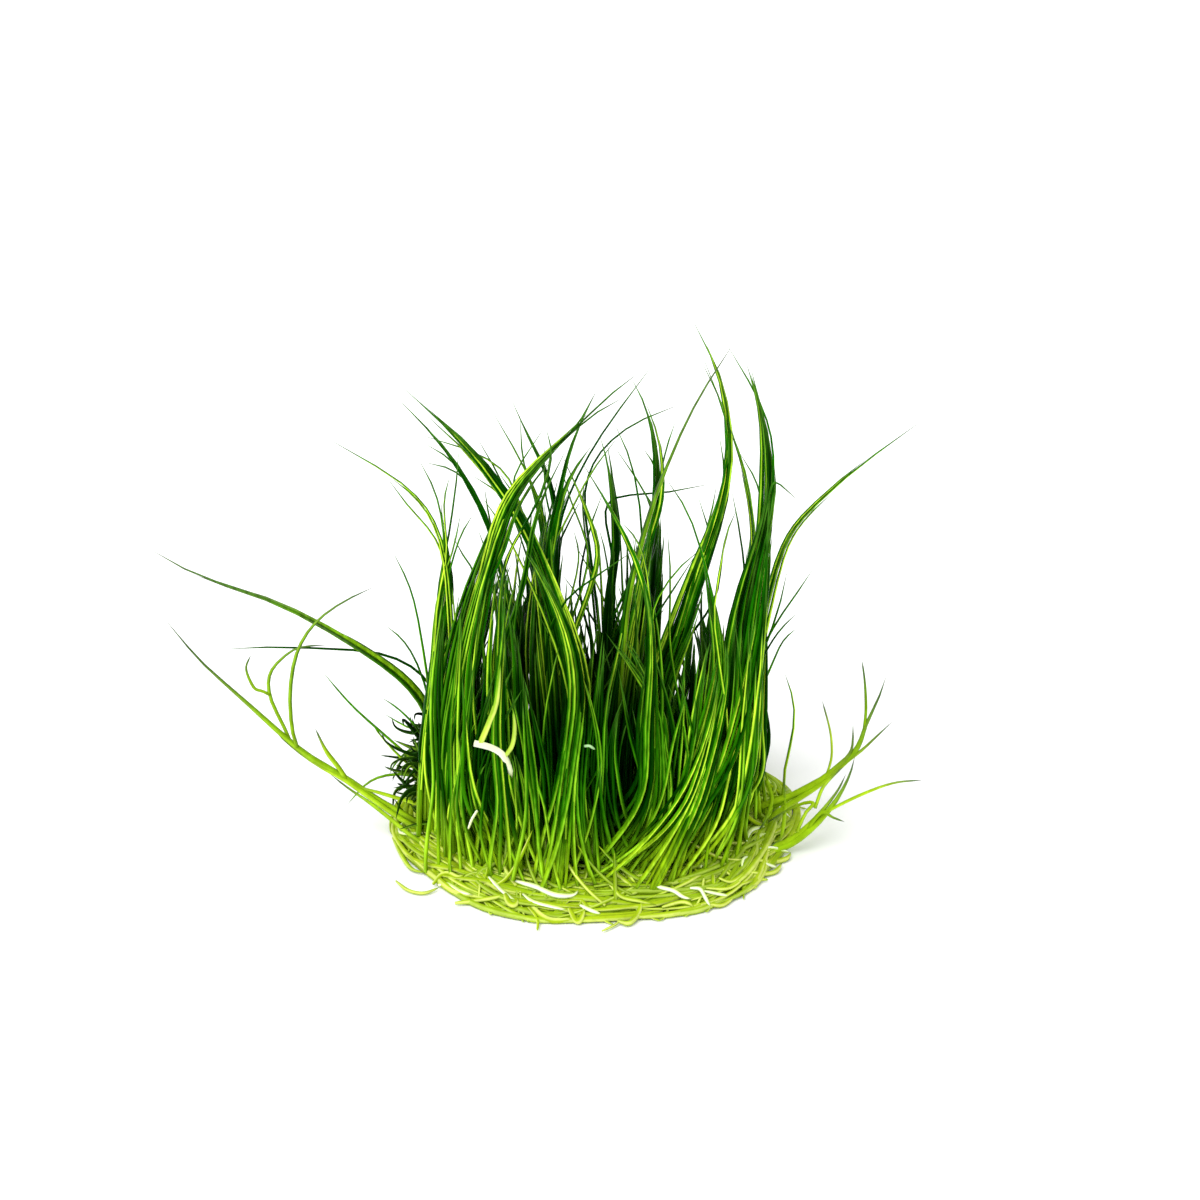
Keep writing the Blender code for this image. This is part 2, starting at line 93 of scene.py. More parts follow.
def seen_at(px, py, depth):
    """The point, in mm, that the photo shows at a pixel, at a depth behind the middle."""
    across = (px / 1200 - 0.5) * FIELD_WIDTH
    rise = (0.5 - py / 1200) * FIELD_WIDTH
    tilt_sin, tilt_cos = math.sin(CAMERA_ELEVATION), math.cos(CAMERA_ELEVATION)
    eye = CAMERA_AIM + Vector((0, -tilt_cos, tilt_sin)) * CAMERA_DISTANCE
    ray = (Vector((0, tilt_cos, -tilt_sin)) * CAMERA_DISTANCE + Vector((across, 0, 0))
           + Vector((0, tilt_sin, tilt_cos)) * rise)
    return tuple((eye + ray * ((depth * MM - eye.y) / ray.y)) / MM)


camera = make_camera()
print("lens in mm:", round(camera.data.lens, 1))
print("middle of the mat's top:", [round(v, 1) for v in seen_at(588, 796, 0)])

# %% [markdown]
# ## A pale floor and soft light
#
# The plant was lit evenly on white. A soft sun from the upper left gives the leaves
# one bright side, and a white world fills the rest. A sun is used and not a panel,
# because a panel near the plant would leave the far floor grey.

# %% Floor, sun and world
FLOOR_SIZE = 6.0
WORLD_STRENGTH = 1.0
SUN_STRENGTH = 2.4
SUN_SOFTNESS = math.radians(50)
SUN_PLACE = Vector((-0.45, -0.60, 1.0))


def link_new(name, data):
    item = bpy.data.objects.new(name, data)
    bpy.context.scene.collection.objects.link(item)
    return item


def make_floor():
    form = bmesh.new()
    bmesh.ops.create_grid(form, x_segments=1, y_segments=1, size=FLOOR_SIZE / 2)
    mesh = bpy.data.meshes.new("floor")
    form.to_mesh(mesh)
    form.free()
    floor = link_new("floor", mesh)
    paint = bpy.data.materials.new("floor_white")
    paint.use_nodes = True
    shader = paint.node_tree.nodes["Principled BSDF"]
    shader.inputs["Base Color"].default_value = (0.92, 0.92, 0.92, 1)
    shader.inputs["Roughness"].default_value = 0.9
    shader.inputs["Specular IOR Level"].default_value = 0.0
    mesh.materials.append(paint)
    floor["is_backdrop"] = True
    return floor


def make_lights():
    light = bpy.data.lights.new("soft_sun", "SUN")
    light.energy = SUN_STRENGTH
    light.angle = SUN_SOFTNESS
    sun = link_new("soft_sun", light)
    sun.rotation_euler = (-SUN_PLACE).to_track_quat("-Z", "Y").to_euler()
    world = bpy.data.worlds.new("white_room")
    world.use_nodes = True
    sky = world.node_tree.nodes["Background"]
    sky.inputs["Color"].default_value = (1, 1, 1, 1)
    sky.inputs["Strength"].default_value = WORLD_STRENGTH
    bpy.context.scene.world = world


make_floor()
make_lights()
bpy.context.scene.view_settings.view_transform = "Standard"
print("sun strength:", SUN_STRENGTH)

# %% [markdown]
# ## One leaf, made once
#
# A leaf of hairgrass is a round green thread that ends in a point. It could be a
# bevelled curve, but a small mesh keeps its faces few and countable. A closed tube is
# parted into rings, and its last ring is merged to the tip. A circle extruded ring by
# ring has the same shape, but it keeps its faces in another order in each run. Every
# leaf of the plant is a copy of this form, bent along its own route.

# %% The leaf form
LEAF_SIDES = 5
LEAF_RINGS = 13


def make_leaf_form(sides=LEAF_SIDES, rings=LEAF_RINGS):
    form = bmesh.new()
    bmesh.ops.create_cone(form, cap_ends=True, segments=sides, radius1=1.0, radius2=1.0,
                          depth=rings)
    bmesh.ops.translate(form, verts=form.verts, vec=(0, 0, rings / 2))
    rising = [edge for edge in form.edges if edge.calc_length() > rings / 2]
    bmesh.ops.subdivide_edges(form, edges=rising, cuts=rings - 1, use_grid_fill=True)
    top = [vert for vert in form.verts if vert.co.z > rings - 0.5]
    bmesh.ops.pointmerge(form, verts=top, merge_co=(0, 0, rings))
    bmesh.ops.recalc_face_normals(form, faces=form.faces)
    mesh = bpy.data.meshes.new("leaf_form")
    form.to_mesh(mesh)
    form.free()
    return mesh


leaf_form = make_leaf_form()
print("faces in one leaf:", len(leaf_form.polygons))

# %% [markdown]
# ## Bending copies along routes
#
# A route is a handful of points in millimetres that a smooth curve runs through.
# Each ring of a leaf is moved to its place on the route, turned square to it, and
# scaled to the leaf's thickness there. The strips of the UV map lie side by side,
# one for each leaf, with the foot at the bottom, so a pattern can follow a leaf.

# %% Routes and gathered leaves
HIGHLIGHT_SPREAD = 0.9              # how far, in radians, painted highlights turn from straight out
LINE_POINTS = 40              # points on a leaf's line before its rings are placed


def smooth_route(points, count):
    """Count evenly spaced points on a smooth curve through the route's points."""
    knots = np.array(points, float)
    knots = np.vstack([2 * knots[0] - knots[1], knots, 2 * knots[-1] - knots[-2]])
    fine = []
    for a, b, c, d in zip(knots, knots[1:], knots[2:], knots[3:]):
        u = np.linspace(0, 1, 12, endpoint=False)[:, None]
        fine.append(0.5 * (2 * b + (c - a) * u + (2 * a - 5 * b + 4 * c - d) * u**2
                           + (3 * b - a - 3 * c + d) * u**3))
    fine = np.vstack(fine + [knots[-2:-1]])
    along = np.concatenate([[0], np.cumsum(np.linalg.norm(np.diff(fine, axis=0), axis=1))])
    wanted = np.linspace(0, along[-1], count)
    return np.column_stack([np.interp(wanted, along, fine[:, axis]) for axis in range(3)])


def soften(route, passes=6):
    """Take sharp corners out of a route, and leave its ends where they are."""
    route = route.copy()
    for _ in range(passes):
        route[1:-1] += 0.5 * ((route[:-2] + route[2:]) / 2 - route[1:-1])
    return route


def place_rings(route, radii, rings):
    """Rings along a route, half by length and half by bend, so bends stay smooth."""
    ways = np.diff(route, axis=0)
    steps = np.linalg.norm(ways, axis=1)
    ways = ways / np.maximum(steps, 1e-9)[:, None]
    bends = np.linalg.norm(np.diff(ways, axis=0), axis=1)
    bends = (np.append(bends, 0) + np.append(0, bends)) / 2 + 0.002
    weight = steps / steps.sum() + bends / bends.sum()
    place = np.concatenate([[0], np.cumsum(weight)]) / weight.sum()
    length = np.concatenate([[0], np.cumsum(steps)]) / steps.sum()
    wanted = np.linspace(0, 1, rings + 1)
    rows = [np.interp(wanted, place, row) for row in (*route.T, radii, length)]
    return np.column_stack(rows[:3]), rows[3], rows[4]


def square_frames(route):
    """Two directions square to the route at each point, turning as little as can be."""
    heading = np.gradient(route, axis=0)
    heading /= np.maximum(np.linalg.norm(heading, axis=1), 1e-9)[:, None]
    side = np.array([1.0, 0.0, 0.0]) if abs(heading[0, 0]) < 0.8 else np.array([0.0, 1.0, 0.0])
    sides = []
    for way in heading:
        side = side - way * side.dot(way)
        side = side / np.linalg.norm(side)
        sides.append(side)
    sides = np.array(sides)
    return sides, np.cross(heading, sides)


def highlight_edge_of(out, turns, ring, route, tone_and_shade):
    """Painted highlight: 1 along the one edge of a leaf that faces away from the plant's middle,
    or nearly.
    """
    middle = route[len(route) // 2]
    facing = math.atan2(middle[1] - 3, middle[0]) + HIGHLIGHT_SPREAD * math.sin(97 * tone_and_shade)
    half = ring == ring.max() // 2
    meets = out[half] @ np.array([math.cos(facing), math.sin(facing), 0.15])
    edge = turns[half][meets.argmax()]
    return (np.cos(turns - edge) > 0.99) * (ring < ring.max())


def gather_leaves(name, leaves, form=leaf_form):
    """One mesh of many leaves. A leaf is its route, its radii along it, and its tone: part chance,
    part painted shade.
    """
    shape = np.array([vert.co for vert in form.vertices])
    ring = np.rint(shape[:, 2]).astype(int)
    gathered = bmesh.new()
    for _ in leaves:
        gathered.from_mesh(form)
    mesh = bpy.data.meshes.new(name)
    gathered.to_mesh(mesh)
    gathered.free()
    places, tones_and_shades, highlight_edges, growth = [], [], [], []
    turns = np.arctan2(shape[:, 1], shape[:, 0])
    for route, radii, tone_and_shade in leaves:
        route, radii, length = place_rings(np.asarray(route), radii, ring.max())
        growth.append(length[ring])
        sides, fronts = square_frames(route)
        out = sides[ring] * shape[:, :1] + fronts[ring] * shape[:, 1:2]
        places.append(route[ring] + out * radii[ring, None])
        tones_and_shades.append(np.full(len(shape), tone_and_shade))
        highlight_edges.append(highlight_edge_of(out, turns, ring, route, tone_and_shade))
    mesh.vertices.foreach_set("co", (np.vstack(places) * MM).ravel())
    along = mesh.attributes.new("along", "FLOAT", "POINT")
    along.data.foreach_set("value", np.concatenate(growth))
    tone_and_shade_layer = mesh.attributes.new("tone_and_shade", "FLOAT", "POINT")
    tone_and_shade_layer.data.foreach_set("value", np.concatenate(tones_and_shades))
    highlight_edge_layer = mesh.attributes.new("highlight_edge", "FLOAT", "POINT")
    highlight_edge_layer.data.foreach_set("value", np.concatenate(highlight_edges))
    lay_strips(mesh, form, shape, ring, len(leaves))
    mesh.shade_smooth()
    mesh.update()
    return link_new(name, mesh)


def lay_strips(mesh, form, shape, ring, count):
    """A UV strip for each leaf, side by side."""
    strip = []
    for face in form.polygons:
        turns = [math.atan2(shape[v, 1], shape[v, 0]) / math.tau % 1 for v in face.vertices]
        if max(turns) - min(turns) > 0.5:
            turns = [turn + 1 if turn < 0.5 else turn for turn in turns]
        for vert, turn in zip(face.vertices, turns):
            strip.append((turn / (1 + 1 / LEAF_SIDES), ring[vert] / ring.max()))
    strip = np.array(strip)
    layer = mesh.uv_layers.new(name="OFBake")
    places = [np.column_stack([(number + 0.06 + 0.88 * strip[:, 0]) / count,
                               0.01 + 0.98 * strip[:, 1]]) for number in range(count)]
    layer.data.foreach_set("uv", np.vstack(places).ravel())


def ease(value, low, high):
    """0 below low, 1 above high, smooth between."""
    share = np.clip((value - low) / (high - low), 0, 1)
    return share * share * (3 - 2 * share)


# %% [markdown]
# ## Shared effects for the materials
#
# All green parts change in the same way from foot to tip: lime where they were
# buried among the roots, deep green above, and a dull grey-green in the dry hair
# points. Each leaf also has its own tone, part chance and part painted shade, as
# leaves deep in a tuft are darker. Each leaf has a painted highlight along one edge,
# and fine streaks run along it. Low down near the plant's middle a leaf stands in the
# shade of the others, so it is painted darker and greener there. These are node
# groups that give out only colours and values, so each material can use them with
# its own numbers. Separate copies in each material would drift apart.

# %% Node groups
def new_group(name, inputs, outputs):
    group = bpy.data.node_groups.new(name, "ShaderNodeTree")
    for label, kind, value in inputs:
        socket = group.interface.new_socket(label, in_out="INPUT", socket_type=kind)
        if value is not None:
            socket.default_value = value
    for label, kind in outputs:
        group.interface.new_socket(label, in_out="OUTPUT", socket_type=kind)
    return group, group.nodes.new("NodeGroupInput"), group.nodes.new("NodeGroupOutput")


def mix_colours(tree, factor, first, second, blend="MIX"):
    """A colour mix node. Each input may be a socket or a plain value."""
    node = tree.nodes.new("ShaderNodeMix")
    node.data_type = "RGBA"
    node.blend_type = blend
    for socket, value in ((node.inputs["Factor"], factor), (node.inputs["A"], first),
                          (node.inputs["B"], second)):
        if isinstance(value, bpy.types.NodeSocket):
            tree.links.new(value, socket)
        else:
            socket.default_value = value
    return node.outputs["Result"]


def ramp_between(tree, value, low, high, bottom=0.0, top=1.0):
    node = tree.nodes.new("ShaderNodeMapRange")
    node.interpolation_type = "SMOOTHSTEP"
    tree.links.new(value, node.inputs["Value"])
    for label, number in (("From Min", low), ("From Max", high), ("To Min", bottom),
                          ("To Max", top)):
        socket = node.inputs[label]
        if isinstance(number, bpy.types.NodeSocket):
            tree.links.new(number, socket)
        else:
            socket.default_value = number
    return node.outputs["Result"]


def attribute(tree, name):
    node = tree.nodes.new("ShaderNodeAttribute")
    node.attribute_name = name
    return node.outputs["Fac"]


def green_light(tree, value):
    """A brightness as light that has come through leaves: the darker, the greener."""
    deeper = tree.nodes.new("ShaderNodeMath")
    deeper.operation = "POWER"
    tree.links.new(value, deeper.inputs[0])
    deeper.inputs[1].default_value = 1.9
    node = tree.nodes.new("ShaderNodeCombineColor")
    for label, source in (("Red", deeper.outputs[0]), ("Green", value),
                          ("Blue", deeper.outputs[0])):
        tree.links.new(source, node.inputs[label])
    return node.outputs["Color"]


def make_growth_group():
    """Foot to tip colour of a leaf: its height, its own tone with painted shade, and a painted
    highlight along one edge.
    """
    colour, number = "NodeSocketColor", "NodeSocketFloat"
    group, given, result = new_group(
        "growth_colour",
        [("Foot", colour, (0.4, 0.6, 0.02, 1)), ("Middle", colour, (0.1, 0.3, 0.01, 1)),
         ("Deep", colour, (0.01, 0.10, 0.002, 1)), ("Bright", colour, (0.2, 0.5, 0.01, 1)),
         ("Hair", colour, (0.06, 0.12, 0.04, 1)), ("Foot Until", number, 0.004),
         ("Middle At", number, 0.018), ("Deep From", number, 0.045),
         ("Hair From", number, 0.8), ("Variety", number, 1.0)],
        [("Color", colour)])
    place = group.nodes.new("ShaderNodeTexCoord")
    split = group.nodes.new("ShaderNodeSeparateXYZ")
    group.links.new(place.outputs["Object"], split.inputs[0])
    height = split.outputs["Z"]
    low = ramp_between(group, height, given.outputs["Foot Until"], given.outputs["Middle At"])
    high = ramp_between(group, height, given.outputs["Middle At"], given.outputs["Deep From"])
    body = mix_colours(group, low, given.outputs["Foot"], given.outputs["Middle"])
    body = mix_colours(group, high, body, given.outputs["Deep"])
    tone = ramp_between(group, attribute(group, "tone_and_shade"), 0.05, 0.75, 0.40, 1.0)
    # Painted highlight: a bright line along one edge of each leaf, stronger where the leaf's tone
    # is high.
    highlight_edge = ramp_between(group, attribute(group, "highlight_edge"), 0.18, 0.78)
    highlight = group.nodes.new("ShaderNodeMath")
    highlight.operation = "MULTIPLY"
    group.links.new(tone, highlight.inputs[0])
    group.links.new(highlight_edge, highlight.inputs[1])
    body = mix_colours(group, highlight.outputs[0], body, given.outputs["Bright"])
    flat = group.nodes.new("ShaderNodeVectorMath")
    flat.operation = "MULTIPLY"
    flat.inputs[1].default_value = (1, 1, 0)
    group.links.new(place.outputs["Object"], flat.inputs[0])
    span = group.nodes.new("ShaderNodeVectorMath")
    span.operation = "LENGTH"
    group.links.new(flat.outputs[0], span.inputs[0])
    outer = ramp_between(group, span.outputs["Value"], 0.0125, 0.0262, 0.10, 1.0)
    lit = ramp_between(group, height, 0.020, 0.044)
    # Each leaf's own tone makes it lighter or darker, and greener where darker. This is partly
    # painted shade.
    own = ramp_between(group, attribute(group, "tone_and_shade"), 0.0, 0.8, 0.15, 1.25)
    shade = mix_colours(group, lit, green_light(group, outer), (1, 1, 1, 1))
    body = mix_colours(group, 1.0, body, shade, "MULTIPLY")
    above = ramp_between(group, height, 0.003, 0.013, 0.25, 1.0)
    varied = group.nodes.new("ShaderNodeMath")
    varied.operation = "MULTIPLY"
    group.links.new(above, varied.inputs[0])
    group.links.new(given.outputs["Variety"], varied.inputs[1])
    body = mix_colours(group, varied.outputs[0], body,
                       mix_colours(group, 1.0, body, green_light(group, own), "MULTIPLY"))
    point = ramp_between(group, attribute(group, "along"), given.outputs["Hair From"], 1.0)
    whole = mix_colours(group, point, body, given.outputs["Hair"])
    group.links.new(whole, result.inputs["Color"])
    return group


def make_streak_group():
    """Long fine streaks for colour, gloss and bump, stretched up the plant."""
    group, given, result = new_group(
        "leaf_streaks", [("Across", "NodeSocketFloat", 1400.0), ("Up", "NodeSocketFloat", 45.0)],
        [("Mask", "NodeSocketFloat"), ("Roughness", "NodeSocketFloat")])
    place = group.nodes.new("ShaderNodeTexCoord")
    scale = group.nodes.new("ShaderNodeCombineXYZ")
    for axis, label in (("X", "Across"), ("Y", "Across"), ("Z", "Up")):
        group.links.new(given.outputs[label], scale.inputs[axis])
    stretch = group.nodes.new("ShaderNodeVectorMath")
    stretch.operation = "MULTIPLY"
    group.links.new(place.outputs["Object"], stretch.inputs[0])
    group.links.new(scale.outputs[0], stretch.inputs[1])
    noise = group.nodes.new("ShaderNodeTexNoise")
    noise.inputs["Scale"].default_value = 1.0
    noise.inputs["Detail"].default_value = 2.0
    group.links.new(stretch.outputs[0], noise.inputs["Vector"])
    mask = ramp_between(group, noise.outputs["Fac"], 0.35, 0.65)
    group.links.new(mask, result.inputs["Mask"])
    gloss = ramp_between(group, noise.outputs["Fac"], 0.3, 0.7, 0.22, 0.46)
    group.links.new(gloss, result.inputs["Roughness"])
    return group


growth_group = make_growth_group()
streak_group = make_streak_group()
print("shared effects:", growth_group.name, streak_group.name)

# %% [markdown]
# ## Materials for leaves, runners and pale roots
#
# Each material keeps its own Principled shader and feeds it from the shared effects.
# The leaves are wet, but the photo shows hardly any shine on them, so their reflection
# is weak and tinted green. Image textures would show more, but would have to be drawn
# for each of a thousand leaves.

# %% Green and pale materials
GLOSS_TINT = (0.35, 0.75, 0.06, 1)


def plant_material(name, foot, middle, deep, highlight, hair, levels, hair_from=0.8,
                   streak=0.25, gloss=0.03, variety=1.0, grain=(1400.0, 45.0)):
    """A plant finish. Levels are the heights in mm where its colours change."""
    paint = bpy.data.materials.new(name)
    paint.use_nodes = True
    tree = paint.node_tree
    shader = tree.nodes["Principled BSDF"]
    growth = tree.nodes.new("ShaderNodeGroup")
    growth.node_tree = growth_group
    for label, value in (("Foot", foot), ("Middle", middle), ("Deep", deep),
                         ("Bright", highlight), ("Hair", hair)):
        growth.inputs[label].default_value = (*value, 1)
    for label, level in zip(("Foot Until", "Middle At", "Deep From"), levels):
        growth.inputs[label].default_value = level * MM
    growth.inputs["Hair From"].default_value = hair_from
    growth.inputs["Variety"].default_value = variety
    streaks = tree.nodes.new("ShaderNodeGroup")
    streaks.node_tree = streak_group
    streaks.inputs["Across"].default_value, streaks.inputs["Up"].default_value = grain
    light = mix_colours(tree, streaks.outputs["Mask"], (1 - streak,) * 3 + (1,),
                        (1 + streak,) * 3 + (1,))
    colour = mix_colours(tree, 1.0, growth.outputs["Color"], light, "MULTIPLY")
    tree.links.new(colour, shader.inputs["Base Color"])
    tree.links.new(streaks.outputs["Roughness"], shader.inputs["Roughness"])
    relief = tree.nodes.new("ShaderNodeBump")
    relief.inputs["Strength"].default_value = 0.25
    relief.inputs["Distance"].default_value = 0.1 * MM
    tree.links.new(streaks.outputs["Mask"], relief.inputs["Height"])
    tree.links.new(relief.outputs["Normal"], shader.inputs["Normal"])
    shader.inputs["Specular IOR Level"].default_value = gloss
    shader.inputs["Specular Tint"].default_value = GLOSS_TINT
    return paint


STEM_GRAIN = (520.0, 520.0)
# The fourth colour given to each material is the colour of its painted highlight.
leaf_green = plant_material("leaf_green", (0.26, 0.45, 0.006), (0.038, 0.20, 0.001),
                            (0.006, 0.105, 0.0004), (0.36, 0.66, 0.026),
                            (0.05, 0.17, 0.012), (3.5, 15, 46))
branch_green = plant_material("branch_green", (0.22, 0.42, 0.006), (0.13, 0.32, 0.004),
                              (0.07, 0.21, 0.004), (0.42, 0.62, 0.06),
                              (0.08, 0.14, 0.04), (3, 20, 50), 0.6)
runner_lime = plant_material("runner_lime", (0.30, 0.50, 0.008), (0.26, 0.44, 0.008),
                             (0.09, 0.22, 0.012), (0.38, 0.58, 0.03),
                             (0.06, 0.11, 0.04), (3, 14, 32), 0.5, streak=0.12,
                             variety=0.3, grain=STEM_GRAIN)
rim_lime = plant_material("rim_lime", (0.30, 0.44, 0.010), (0.26, 0.41, 0.007),
                          (0.17, 0.34, 0.003), (0.52, 0.63, 0.12),
                          (0.34, 0.50, 0.02), (1, 4, 8), streak=0.08, variety=0.9,
                          grain=STEM_GRAIN)
pale_root_and_glint = plant_material("pale_root_and_glint", (0.56, 0.71, 0.20), (0.66, 0.77, 0.32),
                           (0.78, 0.84, 0.52), (0.86, 0.90, 0.72),
                           (0.60, 0.72, 0.26), (1, 6, 20), 0.85, streak=0.10,
                           variety=0.05, grain=STEM_GRAIN)
young_lime = plant_material("young_lime", (0.42, 0.58, 0.05), (0.40, 0.58, 0.05),
                            (0.16, 0.38, 0.01), (0.55, 0.70, 0.12),
                            (0.10, 0.28, 0.01), (3, 24, 34), 0.75, streak=0.10,
                            variety=0.2, grain=STEM_GRAIN)
dark_green = plant_material("dark_green", (0.014, 0.040, 0.001), (0.008, 0.035, 0.001),
                            (0.008, 0.04, 0.001), (0.09, 0.22, 0.01),
                            (0.02, 0.07, 0.01), (3, 12, 30))
print("plant materials:", len(bpy.data.materials) - 1)

# %% [markdown]
# ## The tufts' routes
#
# Wet leaves hang together in tufts. Each line gives one tuft: how many leaves it
# may have, how far their feet spread, how wide it is at its belly and near its tip,
# and the route of its middle in millimetres. The same routes carry the solids, so
# each tuft of leaves stands where its node does. Only five tufts at the left and
# right sides lean in a little more than their solids, by 2.5 mm at most. Scattering
# the tufts by chance would be shorter, but then none of them would match the photo.

